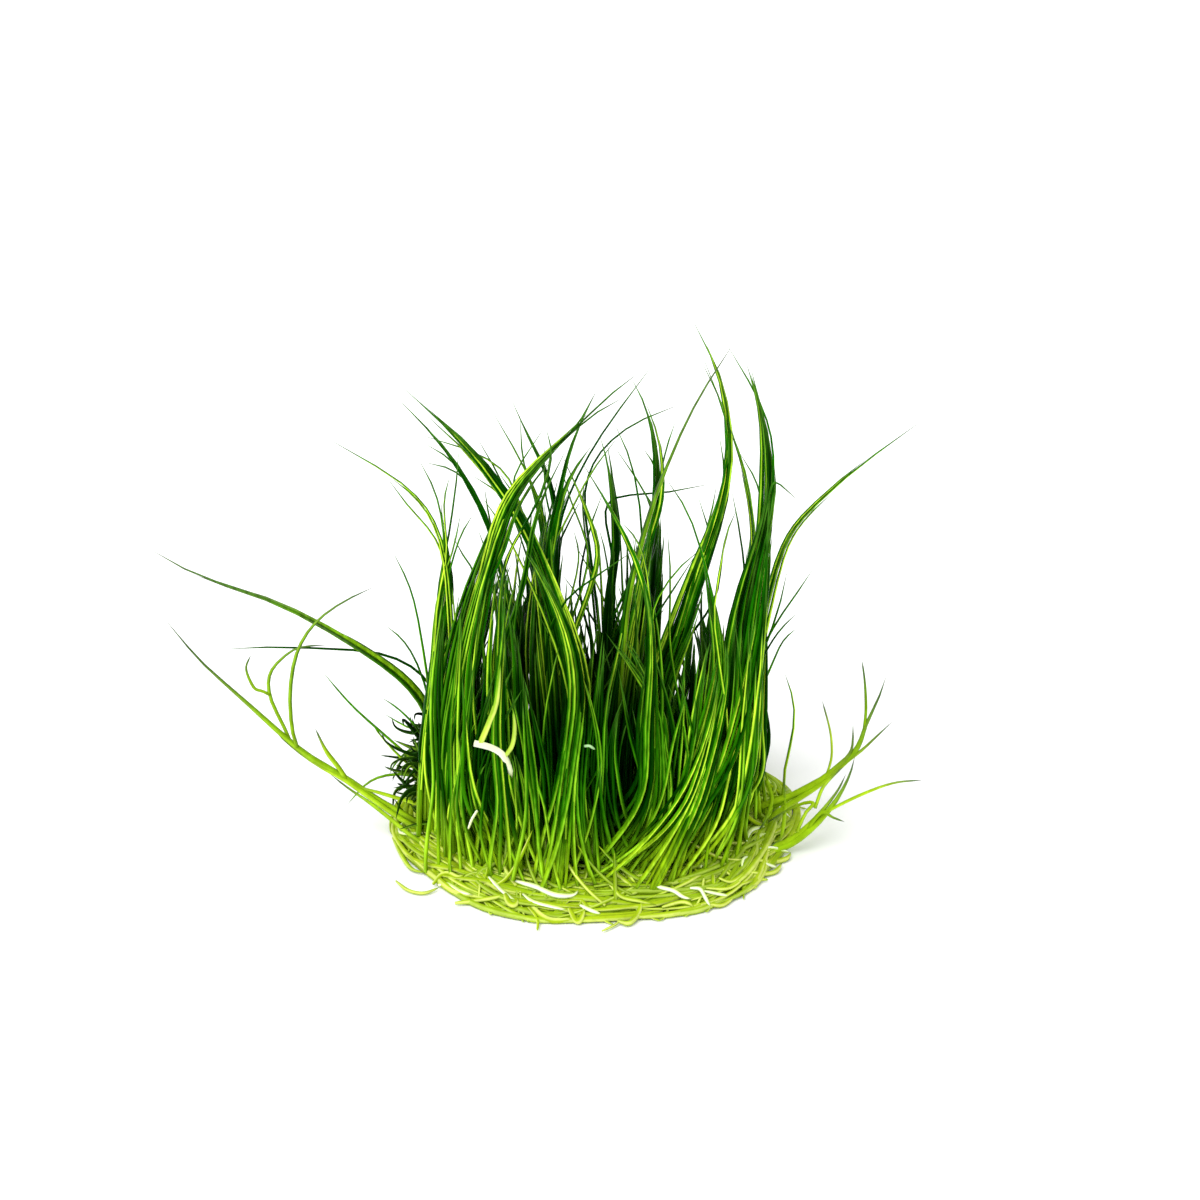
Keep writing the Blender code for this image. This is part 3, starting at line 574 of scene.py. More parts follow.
# %% Tufts of the front, the middle and the back
MAT_TOP = 4.2
FOOT_DEPTH = 1.6              # how deep a leaf starts in the mat
TUFTS = {
    "tuft_right_tall": (74, 7.5, 3.2, 0.8, [(20, -14), (21.5, -12, 17), (23.5, -9, 41),
                        (26.5, -6, 56), (26, -4, 67), (23.5, -2, 77)]),
    "tuft_right_sweep": (23, 6.0, 1.6, 0.5, [(13, -22), (17, -19, 13), (21, -16, 21),
                         (25, -12, 39), (26, -9, 58)]),
    "tuft_middle_right": (38, 8.0, 1.7, 0.6, [(8.5, -25), (13, -22.5, 11), (16, -19, 17),
                          (19.5, -13, 31), (17.5, -9, 45), (11.5, -6, 60)]),
    "tuft_front_right": (42, 8.5, 1.9, 0.7, [(6, -18.5), (10, -18, 14), (9.5, -15, 22),
                         (9.5, -12, 36), (7.5, -9, 48), (4.5, -7, 62)]),
    "tuft_left_lean": (42, 8.0, 2.0, 0.6, [(-4, -25), (-2.5, -19, 17), (-1.5, -12, 30),
                       (-6, -5, 44), (-12, 1, 55), (-20, 3, 63), (-28, 4, 70)]),
    "tuft_left_fork": (38, 7.5, 1.9, 0.6, [(-13, -20.5), (-13, -16, 18), (-13, -12, 36),
                       (-12, -9, 48), (-8.5, -7, 58), (-3, -5, 64)]),
    "tuft_left_arch": (48, 7.0, 1.6, 0.6, [(-21, -15), (-20.6, -14, 19), (-18.6, -13, 31),
                       (-16.2, -11, 42), (-13, -9, 52), (-9.4, -7, 60), (-3, -4, 65.5),
                       (7, 0, 74)]),
    "tuft_left_column": (38, 6.0, 1.1, 0.6, [(-24.5, -9), (-23.8, -10, 17), (-22.2, -11, 30),
                         (-20.9, -9, 48), (-20, -8, 60)]),
    "tuft_tall": (32, 6.0, 1.6, 0.7, [(10.5, -11.5), (10, -8, 24), (13.5, -4, 33),
                  (16.5, -1, 42), (20, 2, 52), (21, 4, 61), (19.5, 6, 72), (15.5, 8, 79.5)]),
    "tuft_middle_peak": (32, 5.5, 1.8, 0.75, [(3.5, -9), (6, -3, 25), (8.5, 1, 43),
                         (10.5, 4, 57), (9.5, 5, 63), (6.4, 6, 70.5)]),
    "tuft_centre_left": (38, 7.0, 2.2, 0.7, [(-5, -15), (-6, -9, 22), (-6.5, -5, 36),
                         (-6, -2, 47.5), (-3, 1, 59), (1.5, 3, 70)]),
    "tuft_dark_left": (26, 5.0, 1.7, 0.6, [(-14, -6), (-11, 0, 21), (-12, 3, 36),
                       (-15, 5, 47), (-22, 7, 60), (-28, 8, 67)]),
    "tuft_inner_left": (26, 5.0, 1.7, 0.6, [(-9, -1), (-6, 2, 25), (-6, 4, 38),
                        (-7.5, 5, 50), (-10.5, 5, 59), (-14.5, 6, 65.5)]),
    "tuft_behind_left": (26, 5.0, 1.7, 0.6, [(-4, 6), (-5, 7, 28), (-5, 8, 42),
                         (-5.5, 9, 53), (-8, 9.5, 58), (-12, 10, 65)]),
    "tuft_centre": (26, 5.0, 1.7, 0.6, [(2, 0), (3, 3, 30), (4, 5, 44), (3.5, 7, 50),
                    (3, 8, 59)]),
    "tuft_front_1": (32, 7.0, 2.1, 1.9, [(-18.5, -21), (-18, -19, 12), (-17, -17, 24),
                     (-16, -15, 36)]),
    "tuft_front_2": (32, 7.0, 2.1, 1.9, [(-9, -25), (-8, -19, 14), (-9, -16, 26),
                     (-10, -14, 38)]),
    "tuft_front_3": (32, 7.0, 2.1, 1.9, [(1, -20.5), (1, -18, 13), (1.5, -16, 26),
                     (2, -13, 38)]),
    "tuft_front_4": (32, 7.0, 2.1, 1.9, [(14.5, -16), (15, -15, 13), (16, -13, 26),
                     (17, -11, 36)]),
    "tuft_front_5": (32, 7.0, 2.1, 1.9, [(19.5, -21), (22, -18, 12), (23, -15, 26),
                     (24, -12, 40)]),
    "tuft_front_6": (29, 4.5, 1.6, 1.0, [(26.2, -7.6), (25.4, -8.5, 12), (25, -8, 26),
                     (24.8, -7, 40)]),
    "tuft_middle_1": (29, 6.0, 2.1, 1.9, [(-18, 1.5), (-18, 0, 14), (-18, -1, 24),
                      (-17.5, -2, 31)]),
    "tuft_middle_2": (29, 6.0, 2.1, 1.9, [(-10.5, -11.5), (-10, -9, 14), (-11, -8, 28),
                      (-12, -7, 42)]),
    "tuft_middle_3": (29, 6.0, 2.1, 1.9, [(-3, -5), (-2, -4, 14), (-1, -3, 26),
                      (0, -2, 36)]),
    "tuft_middle_4": (29, 6.0, 2.1, 1.9, [(8, -4), (7, -3, 15), (7, -2, 30), (6.5, -2, 42)]),
    "tuft_middle_5": (29, 6.0, 2.1, 1.9, [(14, 0), (15, 0, 15), (15.5, -1, 26),
                      (15, -1, 36)]),
    "tuft_middle_6": (29, 6.0, 2.1, 1.9, [(9, 5), (7, 6, 16), (5.5, 6, 32), (4.5, 6, 46)]),
    "tuft_middle_7": (29, 6.0, 2.1, 1.9, [(16, 8.5), (19, 8, 14), (19, 6, 26),
                      (17.5, 4, 40)]),
    "tuft_middle_8": (29, 6.0, 2.1, 1.9, [(-12, 5), (-12, 5, 16), (-10.5, 5, 32),
                      (-9, 5, 48)]),
    "tuft_back_1": (29, 6.0, 2.1, 1.9, [(-17.5, 9.5), (-19, 8, 16), (-16, 8, 32),
                    (-12.5, 8, 50)]),
    "tuft_back_2": (29, 6.0, 2.1, 1.9, [(-11.5, 13), (-11, 14, 18), (-8, 13, 35),
                    (-5, 12, 52)]),
    "tuft_back_3": (29, 6.0, 2.1, 1.9, [(-6, 19), (-6, 19, 18), (-7, 17, 34), (-7, 15, 48)]),
    "tuft_back_4": (29, 6.0, 2.1, 1.9, [(1, 19), (0, 16, 12), (-2, 14, 22), (-4, 12, 40)]),
    "tuft_back_5": (29, 6.0, 2.1, 1.9, [(9, 13.5), (9, 14, 18), (10, 12, 36),
                    (10.3, 9, 53)]),
    "tuft_back_6": (29, 6.0, 2.1, 1.9, [(9, 21), (9, 22, 15), (9.5, 20, 30),
                    (9.5, 17, 45)]),
    "tuft_back_7": (29, 6.0, 2.1, 1.9, [(16, 16.5), (17, 17, 12), (17.5, 16, 24),
                    (17, 14, 38)]),
    "tuft_back_8": (29, 6.0, 2.1, 1.9, [(22, 13.5), (24, 12, 18), (26, 10, 38),
                    (26.5, 8, 58)]),
    "tuft_back_9": (29, 6.0, 2.1, 1.9, [(-1.5, 25.5), (-2, 25, 10), (-3, 24, 20),
                    (-3, 22, 31)]),
    "tuft_back_10": (29, 6.0, 2.1, 1.9, [(-18.5, 17), (-19, 16, 12), (-17, 14, 26),
                     (-14, 12, 38)]),
    "tuft_back_11": (29, 4.5, 1.6, 1.0, [(-24, 0), (-22.8, 1, 14), (-21.2, 0, 28),
                     (-20.8, -2, 40)]),
    "tuft_back_12": (29, 4.5, 1.6, 1.0, [(25.5, 3), (24, 4, 14), (23.6, 3, 30),
                     (24.6, 2, 46)]),
}
print("tufts:", len(TUFTS))

# %% [markdown]
# ## Growing a tuft
#
# The feet of a tuft's leaves stand apart on the mat and lean in at once, so a tuft
# looks like a broom set on its bristles. Through the belly the wet leaves cling
# together. In the tufts that the photo shows best these leaves stop on the way up,
# because the tips are read from the photo in the next step. Some leave their tuft
# and cross its neighbours. All chance comes from one seeded source, so the plant is
# the same in each run.

# %% Leaves of one tuft
LEAF_RADIUS = 0.30
TIP_RADIUS = 0.12
GOLDEN_TURN = math.pi * (3 - math.sqrt(5))
LOCK_SIZES = (1, 1, 2, 3, 4)  # how many leaves cling together in a lock
LOCK_STEP = 0.54              # from leaf to leaf across a lock
DENSITY = 0.82                # the share of the leaves listed for a tuft that is grown
STRAY_SHARE = 0.42
SPLAY = 2.2                   # how far the ends of locks spring apart
SHORTENED = {                 # how far up its route a tuft's own locks may end
    "tuft_left_lean": 0.73, "tuft_left_arch": 0.76, "tuft_tall": 0.70,
    "tuft_middle_peak": 0.72, "tuft_centre_left": 0.74, "tuft_dark_left": 0.66,
    "tuft_inner_left": 0.68, "tuft_behind_left": 0.70, "tuft_centre": 0.80,
    "tuft_left_column": 0.80, "tuft_left_fork": 0.72, "tuft_front_right": 0.76,
    "tuft_middle_right": 0.73, "tuft_right_tall": 0.78, "tuft_back_8": 0.80,
    "tuft_back_7": 0.85, "tuft_back_4": 0.82, "tuft_back_9": 0.85, "tuft_middle_5": 0.85,
    "tuft_middle_7": 0.82, "tuft_back_10": 0.85, "tuft_back_5": 0.88}
SHADY = {                     # tufts whose leaves are darker than the others
    "tuft_right_tall": 0.62, "tuft_dark_left": 0.8, "tuft_inner_left": 0.6,
    "tuft_behind_left": 0.7, "tuft_centre_left": 0.72, "tuft_centre": 0.65}
CALM = {                      # less than 1: the leaves keep closer to the tuft
    "tuft_right_tall": 0.0, "tuft_right_sweep": 0.3, "tuft_left_arch": 0.3,
    "tuft_left_lean": 0.4, "tuft_tall": 0.25, "tuft_middle_peak": 0.5,
    "tuft_front_5": 0.3, "tuft_front_6": 0.3, "tuft_back_8": 0.3, "tuft_back_12": 0.3}
FAN_LENGTH = 22.0             # how far up a tuft its feet are still apart
FOOT_BEND = 2.3               # how sharply a leaf turns up from its foot
FOOT_INWARD = 0.93
FOOT_INSET = (0.64, 0.90)      # share of the mat's radius that feet stay within
MAT_RADIUS = 29.6
MAT_LEAN = 1.3
MAT_LUMP = 0.8


def mat_edge(angle):
    """The mat's radius in a direction: round, fuller at the front right."""
    return (MAT_RADIUS + MAT_LEAN * math.cos(angle + math.radians(35))
            + MAT_LUMP * math.sin(6 * angle + 0.8))


def leaf_radii(thickness=1.0, taper_from=0.6, tip=TIP_RADIUS):
    """Thick and round for most of its length, then down to a fine point."""
    along = np.linspace(0, 1, LINE_POINTS)
    full = LEAF_RADIUS * thickness * (1 - 0.12 * along)
    return tip + (full - tip) * (1 - ease(along, taper_from, 1.02))


def foot_on_mat(x, y, reach_x, reach_y, inset):
    """Move a foot out from a tuft's middle, but not over a share of the mat's radius."""
    x, y = x * FOOT_INWARD + reach_x, y * FOOT_INWARD + reach_y
    over = math.hypot(x, y) / (mat_edge(math.atan2(y, x)) * inset)
    return (x / over, y / over) if over > 1 else (x, y)


def spine_of(points):
    """A tuft's middle line and its two square directions, from inside the mat up."""
    start = points[0] if len(points[0]) == 3 else (*points[0], MAT_TOP - FOOT_DEPTH)
    line = soften(smooth_route([start] + points[1:], 60), 10)
    return (line, *square_frames(line))


def read_at(rows, share):
    shares = np.linspace(0, 1, len(rows))
    return np.column_stack([np.interp(share, shares, rows[:, axis]) for axis in range(3)])


def lock_line(spine, number, locks, belly, pinch, chance, calm, closes):
    """The line of one lock, its turn round the tuft, and whether it strays."""
    middle, sides, fronts = spine
    turn = number * GOLDEN_TURN + chance.uniform(-0.4, 0.4)
    rim = math.sqrt((number + 0.5) / locks) if number else 0.0
    stray = number > 0 and chance.random() < STRAY_SHARE * calm
    reach = (1 - (0.34 + 0.16 * calm) * chance.random() ** (2.4 - 1.15 * calm)
             if number else 1.0)
    share = np.linspace(0, reach, LINE_POINTS)
    grown = share / reach
    twist = turn + chance.uniform(-1.6, 1.6) * share
    side, front = read_at(sides, share), read_at(fronts, share)
    out = side * np.cos(twist)[:, None] + front * np.sin(twist)[:, None]
    closing = ease(share, 0.35, 0.74)
    spread = (belly * (1 - closing) + pinch * closing) * (1 - closes * ease(share, 0.8, 1))
    line = read_at(middle, share) + out * (spread * rim)[:, None]
    sway = chance.uniform(0.2, 0.8) * np.sin(
        math.tau * (grown * chance.uniform(0.5, 1.3) + chance.random()))
    spring = (SPLAY * calm * chance.uniform(-0.5, 1.0)
              * np.clip((grown - 0.6) / 0.4, 0, 1) ** 2)
    line += out * (sway * ease(grown, 0.1, 0.5) * (1 - 0.7 * closing) + spring)[:, None]
    if stray:
        leaves_at = chance.uniform(0.08, 0.6)
        away = np.clip((grown - leaves_at) / (1 - leaves_at), 0, 1) ** 1.5
        inward = math.atan2(-middle[0, 1], -middle[0, 0]) + chance.uniform(-1.7, 1.7)
        far = chance.uniform(2.5, 9.0) * min(1.0, abs(line[-1, 2]) / 45)
        line += np.outer(away * far, (math.cos(inward), math.sin(inward) * 0.7, -0.12))
    return line, side, front, turn, rim, reach, stray


def tuft_leaves(count, feet, belly, pinch, points, chance, calm, closes, low_end, shade):
    """Leaves in locks: side by side through the belly, together again at their ends."""
    spine = spine_of(points)
    middle = spine[0]
    length = np.linalg.norm(np.diff(middle, axis=0), axis=1).sum()
    fan = min(0.66, FAN_LENGTH / length)
    leaves, number = [], 0
    while len(leaves) < count * DENSITY:
        line, side, front, turn, rim, reach, stray = lock_line(
            spine, number, count / 2.4, belly, pinch, chance, calm, closes)
        line = read_at(line, np.linspace(0, low_end, LINE_POINTS))
        reach *= low_end
        number += 1
        size = chance.choice((1, 1, 2)) if stray else chance.choice(LOCK_SIZES)
        face = chance.uniform(-0.8, 0.8)
        across = side * math.cos(face) + front * math.sin(face)
        for place in range(size):
            steps = np.linspace(0, chance.uniform(0.82, 0.98) if place else 1.0, LINE_POINTS)
            apart = (place - (size - 1) / 2) * LOCK_STEP * chance.uniform(0.85, 1.2)
            narrow = apart * (1 - 0.85 * ease(steps, 0.5, 1.0))
            own = read_at(line, steps) + read_at(across, steps) * narrow[:, None]
            reach_out = feet * (0.30 + 0.70 * rim) * chance.uniform(0.7, 1.3)
            way = turn + chance.uniform(-0.6, 0.6)
            foot = foot_on_mat(*middle[0, :2], math.cos(way) * reach_out,
                               math.sin(way) * reach_out, chance.uniform(*FOOT_INSET))
            leaning = np.clip(1 - steps * reach / (fan * chance.uniform(0.7, 1.2)), 0, 1)
            own[:, 0] += (foot[0] - own[0, 0]) * leaning ** FOOT_BEND
            own[:, 1] += (foot[1] - own[0, 1]) * leaning ** FOOT_BEND
            thickness = chance.uniform(0.82, 1.22) * (0.85 if stray else 1.0)
            # Leaves deep inside a tuft, and the leaves of shady tufts, get a lower tone: painted
            # shade.
            tone_and_shade = chance.random() * (0.45 + 0.55 * min(rim, 1.0)) * shade
            leaves.append((own, leaf_radii(thickness), tone_and_shade))
    return leaves


def finish_piece(piece, paint, slot, *nodes):
    piece.data.materials.append(paint)
    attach(piece, "root")
    if nodes:
        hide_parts(*nodes)
    return piece


# %% [markdown]
# ## Tops and hairs read from the photo
#
# Each tuft ends in a way of its own: one or two flat ribbons of leaves that cling
# together, and single hairs that part from them and cross the others. Each line
# gives one ribbon: how many leaves lie in it, its depth in mm where it begins and
# where it ends, and the photo's pixels along it. Below its first pixel a ribbon
# follows its tuft up from the mat. Loose ends put in the air would look the same
# from the front, but not from the side.

# %% Tops read from the photo
TOPS = {
    "tuft_left_lean": [
        (4, -4, 4, [(548, 575), (530, 540), (516, 508), (505, 494), (490, 472), (472, 450),
                    (452, 430), (432, 412), (414, 398), (399, 383)]),
        (2, -3, 4, [(538, 560), (520, 520), (504, 498), (490, 480), (474, 458), (455, 440),
                    (440, 427), (421, 410)]),
        (1, 1, 3, [(512, 472), (500, 464), (484, 455), (462, 446), (444, 442), (414, 433)]),
        (1, 1, 3, [(494, 466), (487, 453), (476, 436)]),
        (1, 0, 2, [(516, 512), (500, 490), (484, 482), (470, 474)]),
        (1, -1, 1, [(520, 505), (509, 484), (497, 470)]),
        (1, -1, 0, [(505, 490), (513, 472), (523, 458), (537, 441), (548, 422)]),
    ],
    "tuft_dark_left": [
        (2, 4, 8, [(495, 545), (487, 518), (478, 500), (468, 483), (457, 464), (445, 447),
                   (434, 435), (420, 420), (408, 408), (394, 394)]),
        (1, 5, 8, [(478, 498), (468, 478), (456, 464), (444, 451), (424, 443)]),
        (1, 5, 8, [(484, 512), (470, 482), (458, 468), (446, 465), (423, 462)]),
        (1, 5, 6, [(491, 528), (487, 508), (484, 484)]),
    ],
    "tuft_inner_left": [
        (1, 5, 6, [(548, 530), (540, 500), (528, 475), (516, 452), (505, 432), (491, 409)]),
        (1, 5, 6, [(545, 520), (534, 490), (525, 476), (521, 460), (521, 440), (520, 414)]),
        (2, 4, 5, [(546, 560), (540, 520), (533, 490), (528, 478)]),
    ],
    "tuft_behind_left": [
        (2, 8, 10, [(559, 560), (557, 520), (553, 490), (547, 470), (540, 458), (532, 446),
                    (521, 420), (510, 396)]),
        (1, 8, 9, [(545, 500), (544, 470), (545, 440)]),
    ],
    "tuft_left_arch": [
        (3, -10, -4, [(486, 560), (497, 515), (510, 490), (526, 471), (548, 451), (568, 434),
                      (582, 420), (591, 411)]),
        (3, -10, -5, [(494, 560), (505, 515), (518, 490), (534, 470), (552, 452), (568, 438),
                      (578, 428)]),
        (2, -10, -6, [(502, 560), (511, 520), (523, 496), (538, 475), (553, 456)]),
        (1, -6, 0, [(566, 440), (582, 422), (600, 402), (615, 390), (631, 377), (641, 371)]),
        (1, -6, -1, [(560, 446), (580, 426), (591, 411), (604, 406), (626, 396)]),
        (1, -6, -3, [(566, 442), (578, 430), (587, 411), (598, 388)]),
    ],
    "tuft_left_fork": [
        (2, -9, -6, [(520, 600), (528, 560), (534, 520), (545, 490), (560, 465), (567, 448)]),
        (1, -8, -6, [(530, 520), (546, 480), (556, 447), (550, 438)]),
        (1, -8, -6, [(536, 510), (556, 452), (551, 437), (546, 427)]),
    ],
    "tuft_left_column": [
        (3, -9, -8, [(451, 600), (449, 570), (445, 540), (442, 515), (441, 498)]),
        (2, -9, -6, [(447, 575), (442, 545), (436, 530), (432, 524)]),
        (1, -9, -4, [(446, 560), (441, 510), (434, 485), (418, 458)]),
        (1, -9, -6, [(446, 590), (440, 540), (420, 520), (402, 500), (385, 475)]),
        (1, -9, -6, [(449, 560), (442, 505), (444, 488), (450, 475)]),
        (1, -9, -7, [(451, 560), (456, 538), (459, 524), (461, 512)]),
        (1, -9, -7, [(452, 565), (457, 540), (463, 528), (474, 513)]),
        (1, -9, -7, [(478, 575), (464, 562), (455, 545), (452, 535)]),
        (1, -7, -5, [(451, 530), (451, 513), (456, 490), (458, 470), (459, 447)]),
        (1, -10, -6, [(431, 705), (424, 655), (412, 592), (392, 550)]),
        (1, -9, -3, [(431, 712), (420, 670), (404, 640), (385, 625)]),
    ],
    "tuft_centre_left": [
        (3, -2, 2, [(550, 560), (556, 520), (563, 490), (572, 472), (582, 456), (594, 443)]),
        (2, -1, 3, [(557, 510), (563, 480), (564, 462), (571, 445), (577, 432), (583, 418),
                    (590, 400), (598, 388)]),
        (2, -1, 1, [(600, 560), (594, 535), (586, 508), (577, 484), (568, 470), (561, 452)]),
        (1, 0, 2, [(590, 560), (576, 520), (569, 495), (564, 478), (559, 460)]),
        (1, 1, 3, [(575, 505), (581, 487), (590, 473), (600, 459), (612, 445), (620, 434)]),
        (1, 2, 3, [(580, 560), (577, 545), (573, 528)]),
        (1, -9, -8, [(546, 640), (567, 597), (594, 578), (642, 545)]),
    ],
    "tuft_centre": [
        (3, 5, 7, [(616, 560), (616, 530), (613, 500), (611, 480), (608, 460), (604, 445),
                   (600, 435)]),
        (2, 6, 7, [(620, 540), (616, 505), (613, 480), (610, 455), (607, 441)]),
        (1, 6, 5, [(607, 530), (600, 505), (603, 496), (640, 494), (663, 494), (680, 491),
                   (716, 483)]),
        (1, 4, 6, [(641, 560), (641, 520), (639, 495), (634, 472), (629, 452), (622, 438),
                   (613, 420)]),
        (1, 4, 6, [(654, 520), (648, 498), (634, 475), (622, 457), (612, 443)]),
        (2, 3, 5, [(660, 530), (652, 505), (642, 488), (632, 472)]),
        (1, 4, 5, [(580, 600), (581, 565), (587, 540), (592, 520), (599, 502), (604, 490)]),
    ],
    "tuft_front_right": [
        (2, -10, -6, [(648, 600), (637, 562), (622, 530), (610, 508), (600, 490), (590, 474),
                      (580, 459)]),
        (1, -10, -8, [(650, 590), (642, 545), (636, 535), (620, 520)]),
        (1, -12, -8, [(642, 641), (672, 592), (700, 548)]),
        (1, -11, -8, [(648, 615), (676, 570), (702, 548)]),
    ],
    "tuft_middle_right": [
        (3, -9, -7, [(716, 640), (710, 600), (706, 570), (701, 545)]),
        (1, -8, -5, [(706, 570), (700, 544), (690, 515), (678, 493), (665, 477)]),
        (1, -9, -8, [(670, 650), (670, 610), (671, 580), (669, 545), (667, 525)]),
    ],
    "tuft_middle_peak": [
        (3, 3, 6, [(656, 520), (657, 490), (657, 460), (655, 440), (651, 420), (646, 402),
                   (640, 390), (631, 377)]),
        (2, 3, 5, [(662, 510), (663, 480), (663, 455), (659, 434), (652, 416), (645, 400)]),
        (1, 4, 4, [(660, 485), (657, 462), (643, 448)]),
        (1, 4, 4, [(660, 480), (664, 455), (670, 434), (676, 420)]),
    ],
    "tuft_tall": [
        (3, 2, 8, [(722, 510), (728, 480), (731, 455), (730, 430), (726, 400), (722, 380),
                   (716, 361), (706, 343), (692, 318)]),
        (3, 2, 5, [(718, 520), (724, 492), (728, 465), (729, 440), (727, 415), (724, 400)]),
        (1, 4, 4, [(729, 440), (724, 405), (711, 379), (700, 358)]),
        (1, 3, 4, [(724, 490), (725, 462), (719, 433)]),
        (1, 1, 3, [(716, 600), (720, 560), (724, 543), (731, 522)]),
        (1, 3, 3, [(712, 548), (706, 522), (697, 493)]),
    ],
    "tuft_right_tall": [
        (4, -6, -2, [(763, 520), (765, 480), (764, 440), (761, 410), (756, 390), (750, 372),
                     (746, 360)]),
        (3, -6, -2, [(771, 520), (771, 480), (769, 450), (765, 420), (759, 398), (754, 380),
                     (750, 363)]),
        (1, -3, -3, [(757, 398), (745, 372), (735, 358), (726, 343)]),
        (1, -4, 3, [(756, 560), (751, 500), (744, 462), (733, 438), (727, 420)]),
        (1, -5, 2, [(762, 500), (758, 477), (748, 468), (738, 450)]),
        (1, -7, -7, [(771, 470), (786, 493), (801, 503)]),
        (1, -8, -6, [(772, 630), (796, 595), (815, 566)]),
        (1, -9, -6, [(768, 648), (781, 628), (798, 612)]),
        (1, -5, -4, [(745, 575), (741, 540), (736, 510), (731, 487)]),
    ],
    "tuft_right_sweep": [(1, -12, -4, [(713, 620), (719, 578), (726, 530), (737, 509)])],
    "tuft_back_11": [
        (1, 1, 2, [(432, 684), (404, 661), (376, 652), (335, 649), (270, 647), (223, 649)]),
        (1, 1, 2, [(420, 768), (389, 739), (352, 706), (322, 671)]),
        (1, 2, 2, [(421, 775), (400, 757), (380, 735), (371, 722)]),
        (1, 2, 2, [(428, 735), (408, 728), (383, 713)]),
        (1, 1, 3, [(428, 742), (402, 712), (381, 697)]),
        (1, 3, 4, [(430, 745), (412, 748), (396, 762), (389, 775)]),
        (1, 0, -1, [(424, 780), (398, 774), (370, 781), (347, 805)]),
    ],
    "tuft_front_6": [(1, -5, -5, [(771, 812), (770, 790), (764, 768)])],
    "tuft_back_12": [
        (1, 0, 0, [(782, 800), (784, 772), (793, 733), (794, 702), (784, 671)]),
        (1, 3, 1, [(772, 665), (783, 640), (797, 628)]),
    ],
}
HAIR_TIP = 0.13
PART_SLANT = 2.6              # how much longer than wide the parting of a hair is
RIBBON_STEP = 0.40            # from leaf to leaf across a ribbon
HAIR_THICKNESS = 0.80
VIEW_WAY = np.array([0, math.cos(CAMERA_ELEVATION), -math.sin(CAMERA_ELEVATION)])


def across_view(line):
    """Directions square to a line that the photo shows from the side."""
    across = np.cross(VIEW_WAY, np.gradient(line, axis=0))
    return across / np.maximum(np.linalg.norm(across, axis=1), 1e-9)[:, None]


def top_leaves(spine, size, low, high, pixels, chance, shade):
    """Leaves that climb with their tuft and then follow the photo's pixels."""
    depths = np.linspace(low, high, len(pixels))
    ends = np.array([seen_at(*pixel, depth) for pixel, depth in zip(pixels, depths)])
    apart = np.linalg.norm(spine - ends[0], axis=1)
    nearest = int(apart.argmin())
    step = np.linalg.norm(np.diff(spine, axis=0), axis=1).mean()
    parts = max(2, nearest - 2 - int(PART_SLANT * apart[nearest] / step))
    climb = spine[np.linspace(0, parts, max(2, parts // 9 + 1)).astype(int)].copy()
    climb[:, 0] += chance.uniform(-1.2, 1.2) * np.linspace(1, 0.3, len(climb))
    climb[:, 1] += chance.uniform(-1.2, 1.2) * np.linspace(1, 0.3, len(climb))
    line = soften(smooth_route(np.vstack([climb, ends]), LINE_POINTS))
    if size == 1:
        radii = leaf_radii(HAIR_THICKNESS, 0.5, HAIR_TIP)
        return [(line, radii, chance.random() * shade)]
    across = across_view(line)
    leaves = []
    for place in range(size):
        steps = np.linspace(0, chance.uniform(0.9, 0.98) if place else 1.0, LINE_POINTS)
        beside = (place - (size - 1) / 2) * RIBBON_STEP * (1 - 0.9 * ease(steps, 0.72, 0.97))
        own = read_at(line, steps) + read_at(across, steps) * beside[:, None]
        own[:, 1] += 0.15 * chance.uniform(-1, 1)
        radii = leaf_radii(chance.uniform(0.85, 1.05), 0.68, HAIR_TIP)
        leaves.append((own, radii, chance.random() * shade))
    return leaves


# %% [markdown]
# ## Locks traced at the front
#
# At the front the photo shows locks that sweep across the tufts behind them, and they
# give the plant its pattern. Each is traced as pixels from its foot up, with the depth
# of its top. Its foot is dropped on the mat along the camera's line of sight, so that
# it stands there from any side, and not only in the picture. One lock has a depth at
# each pixel, because it passes close behind the pale rhizome and holds it.

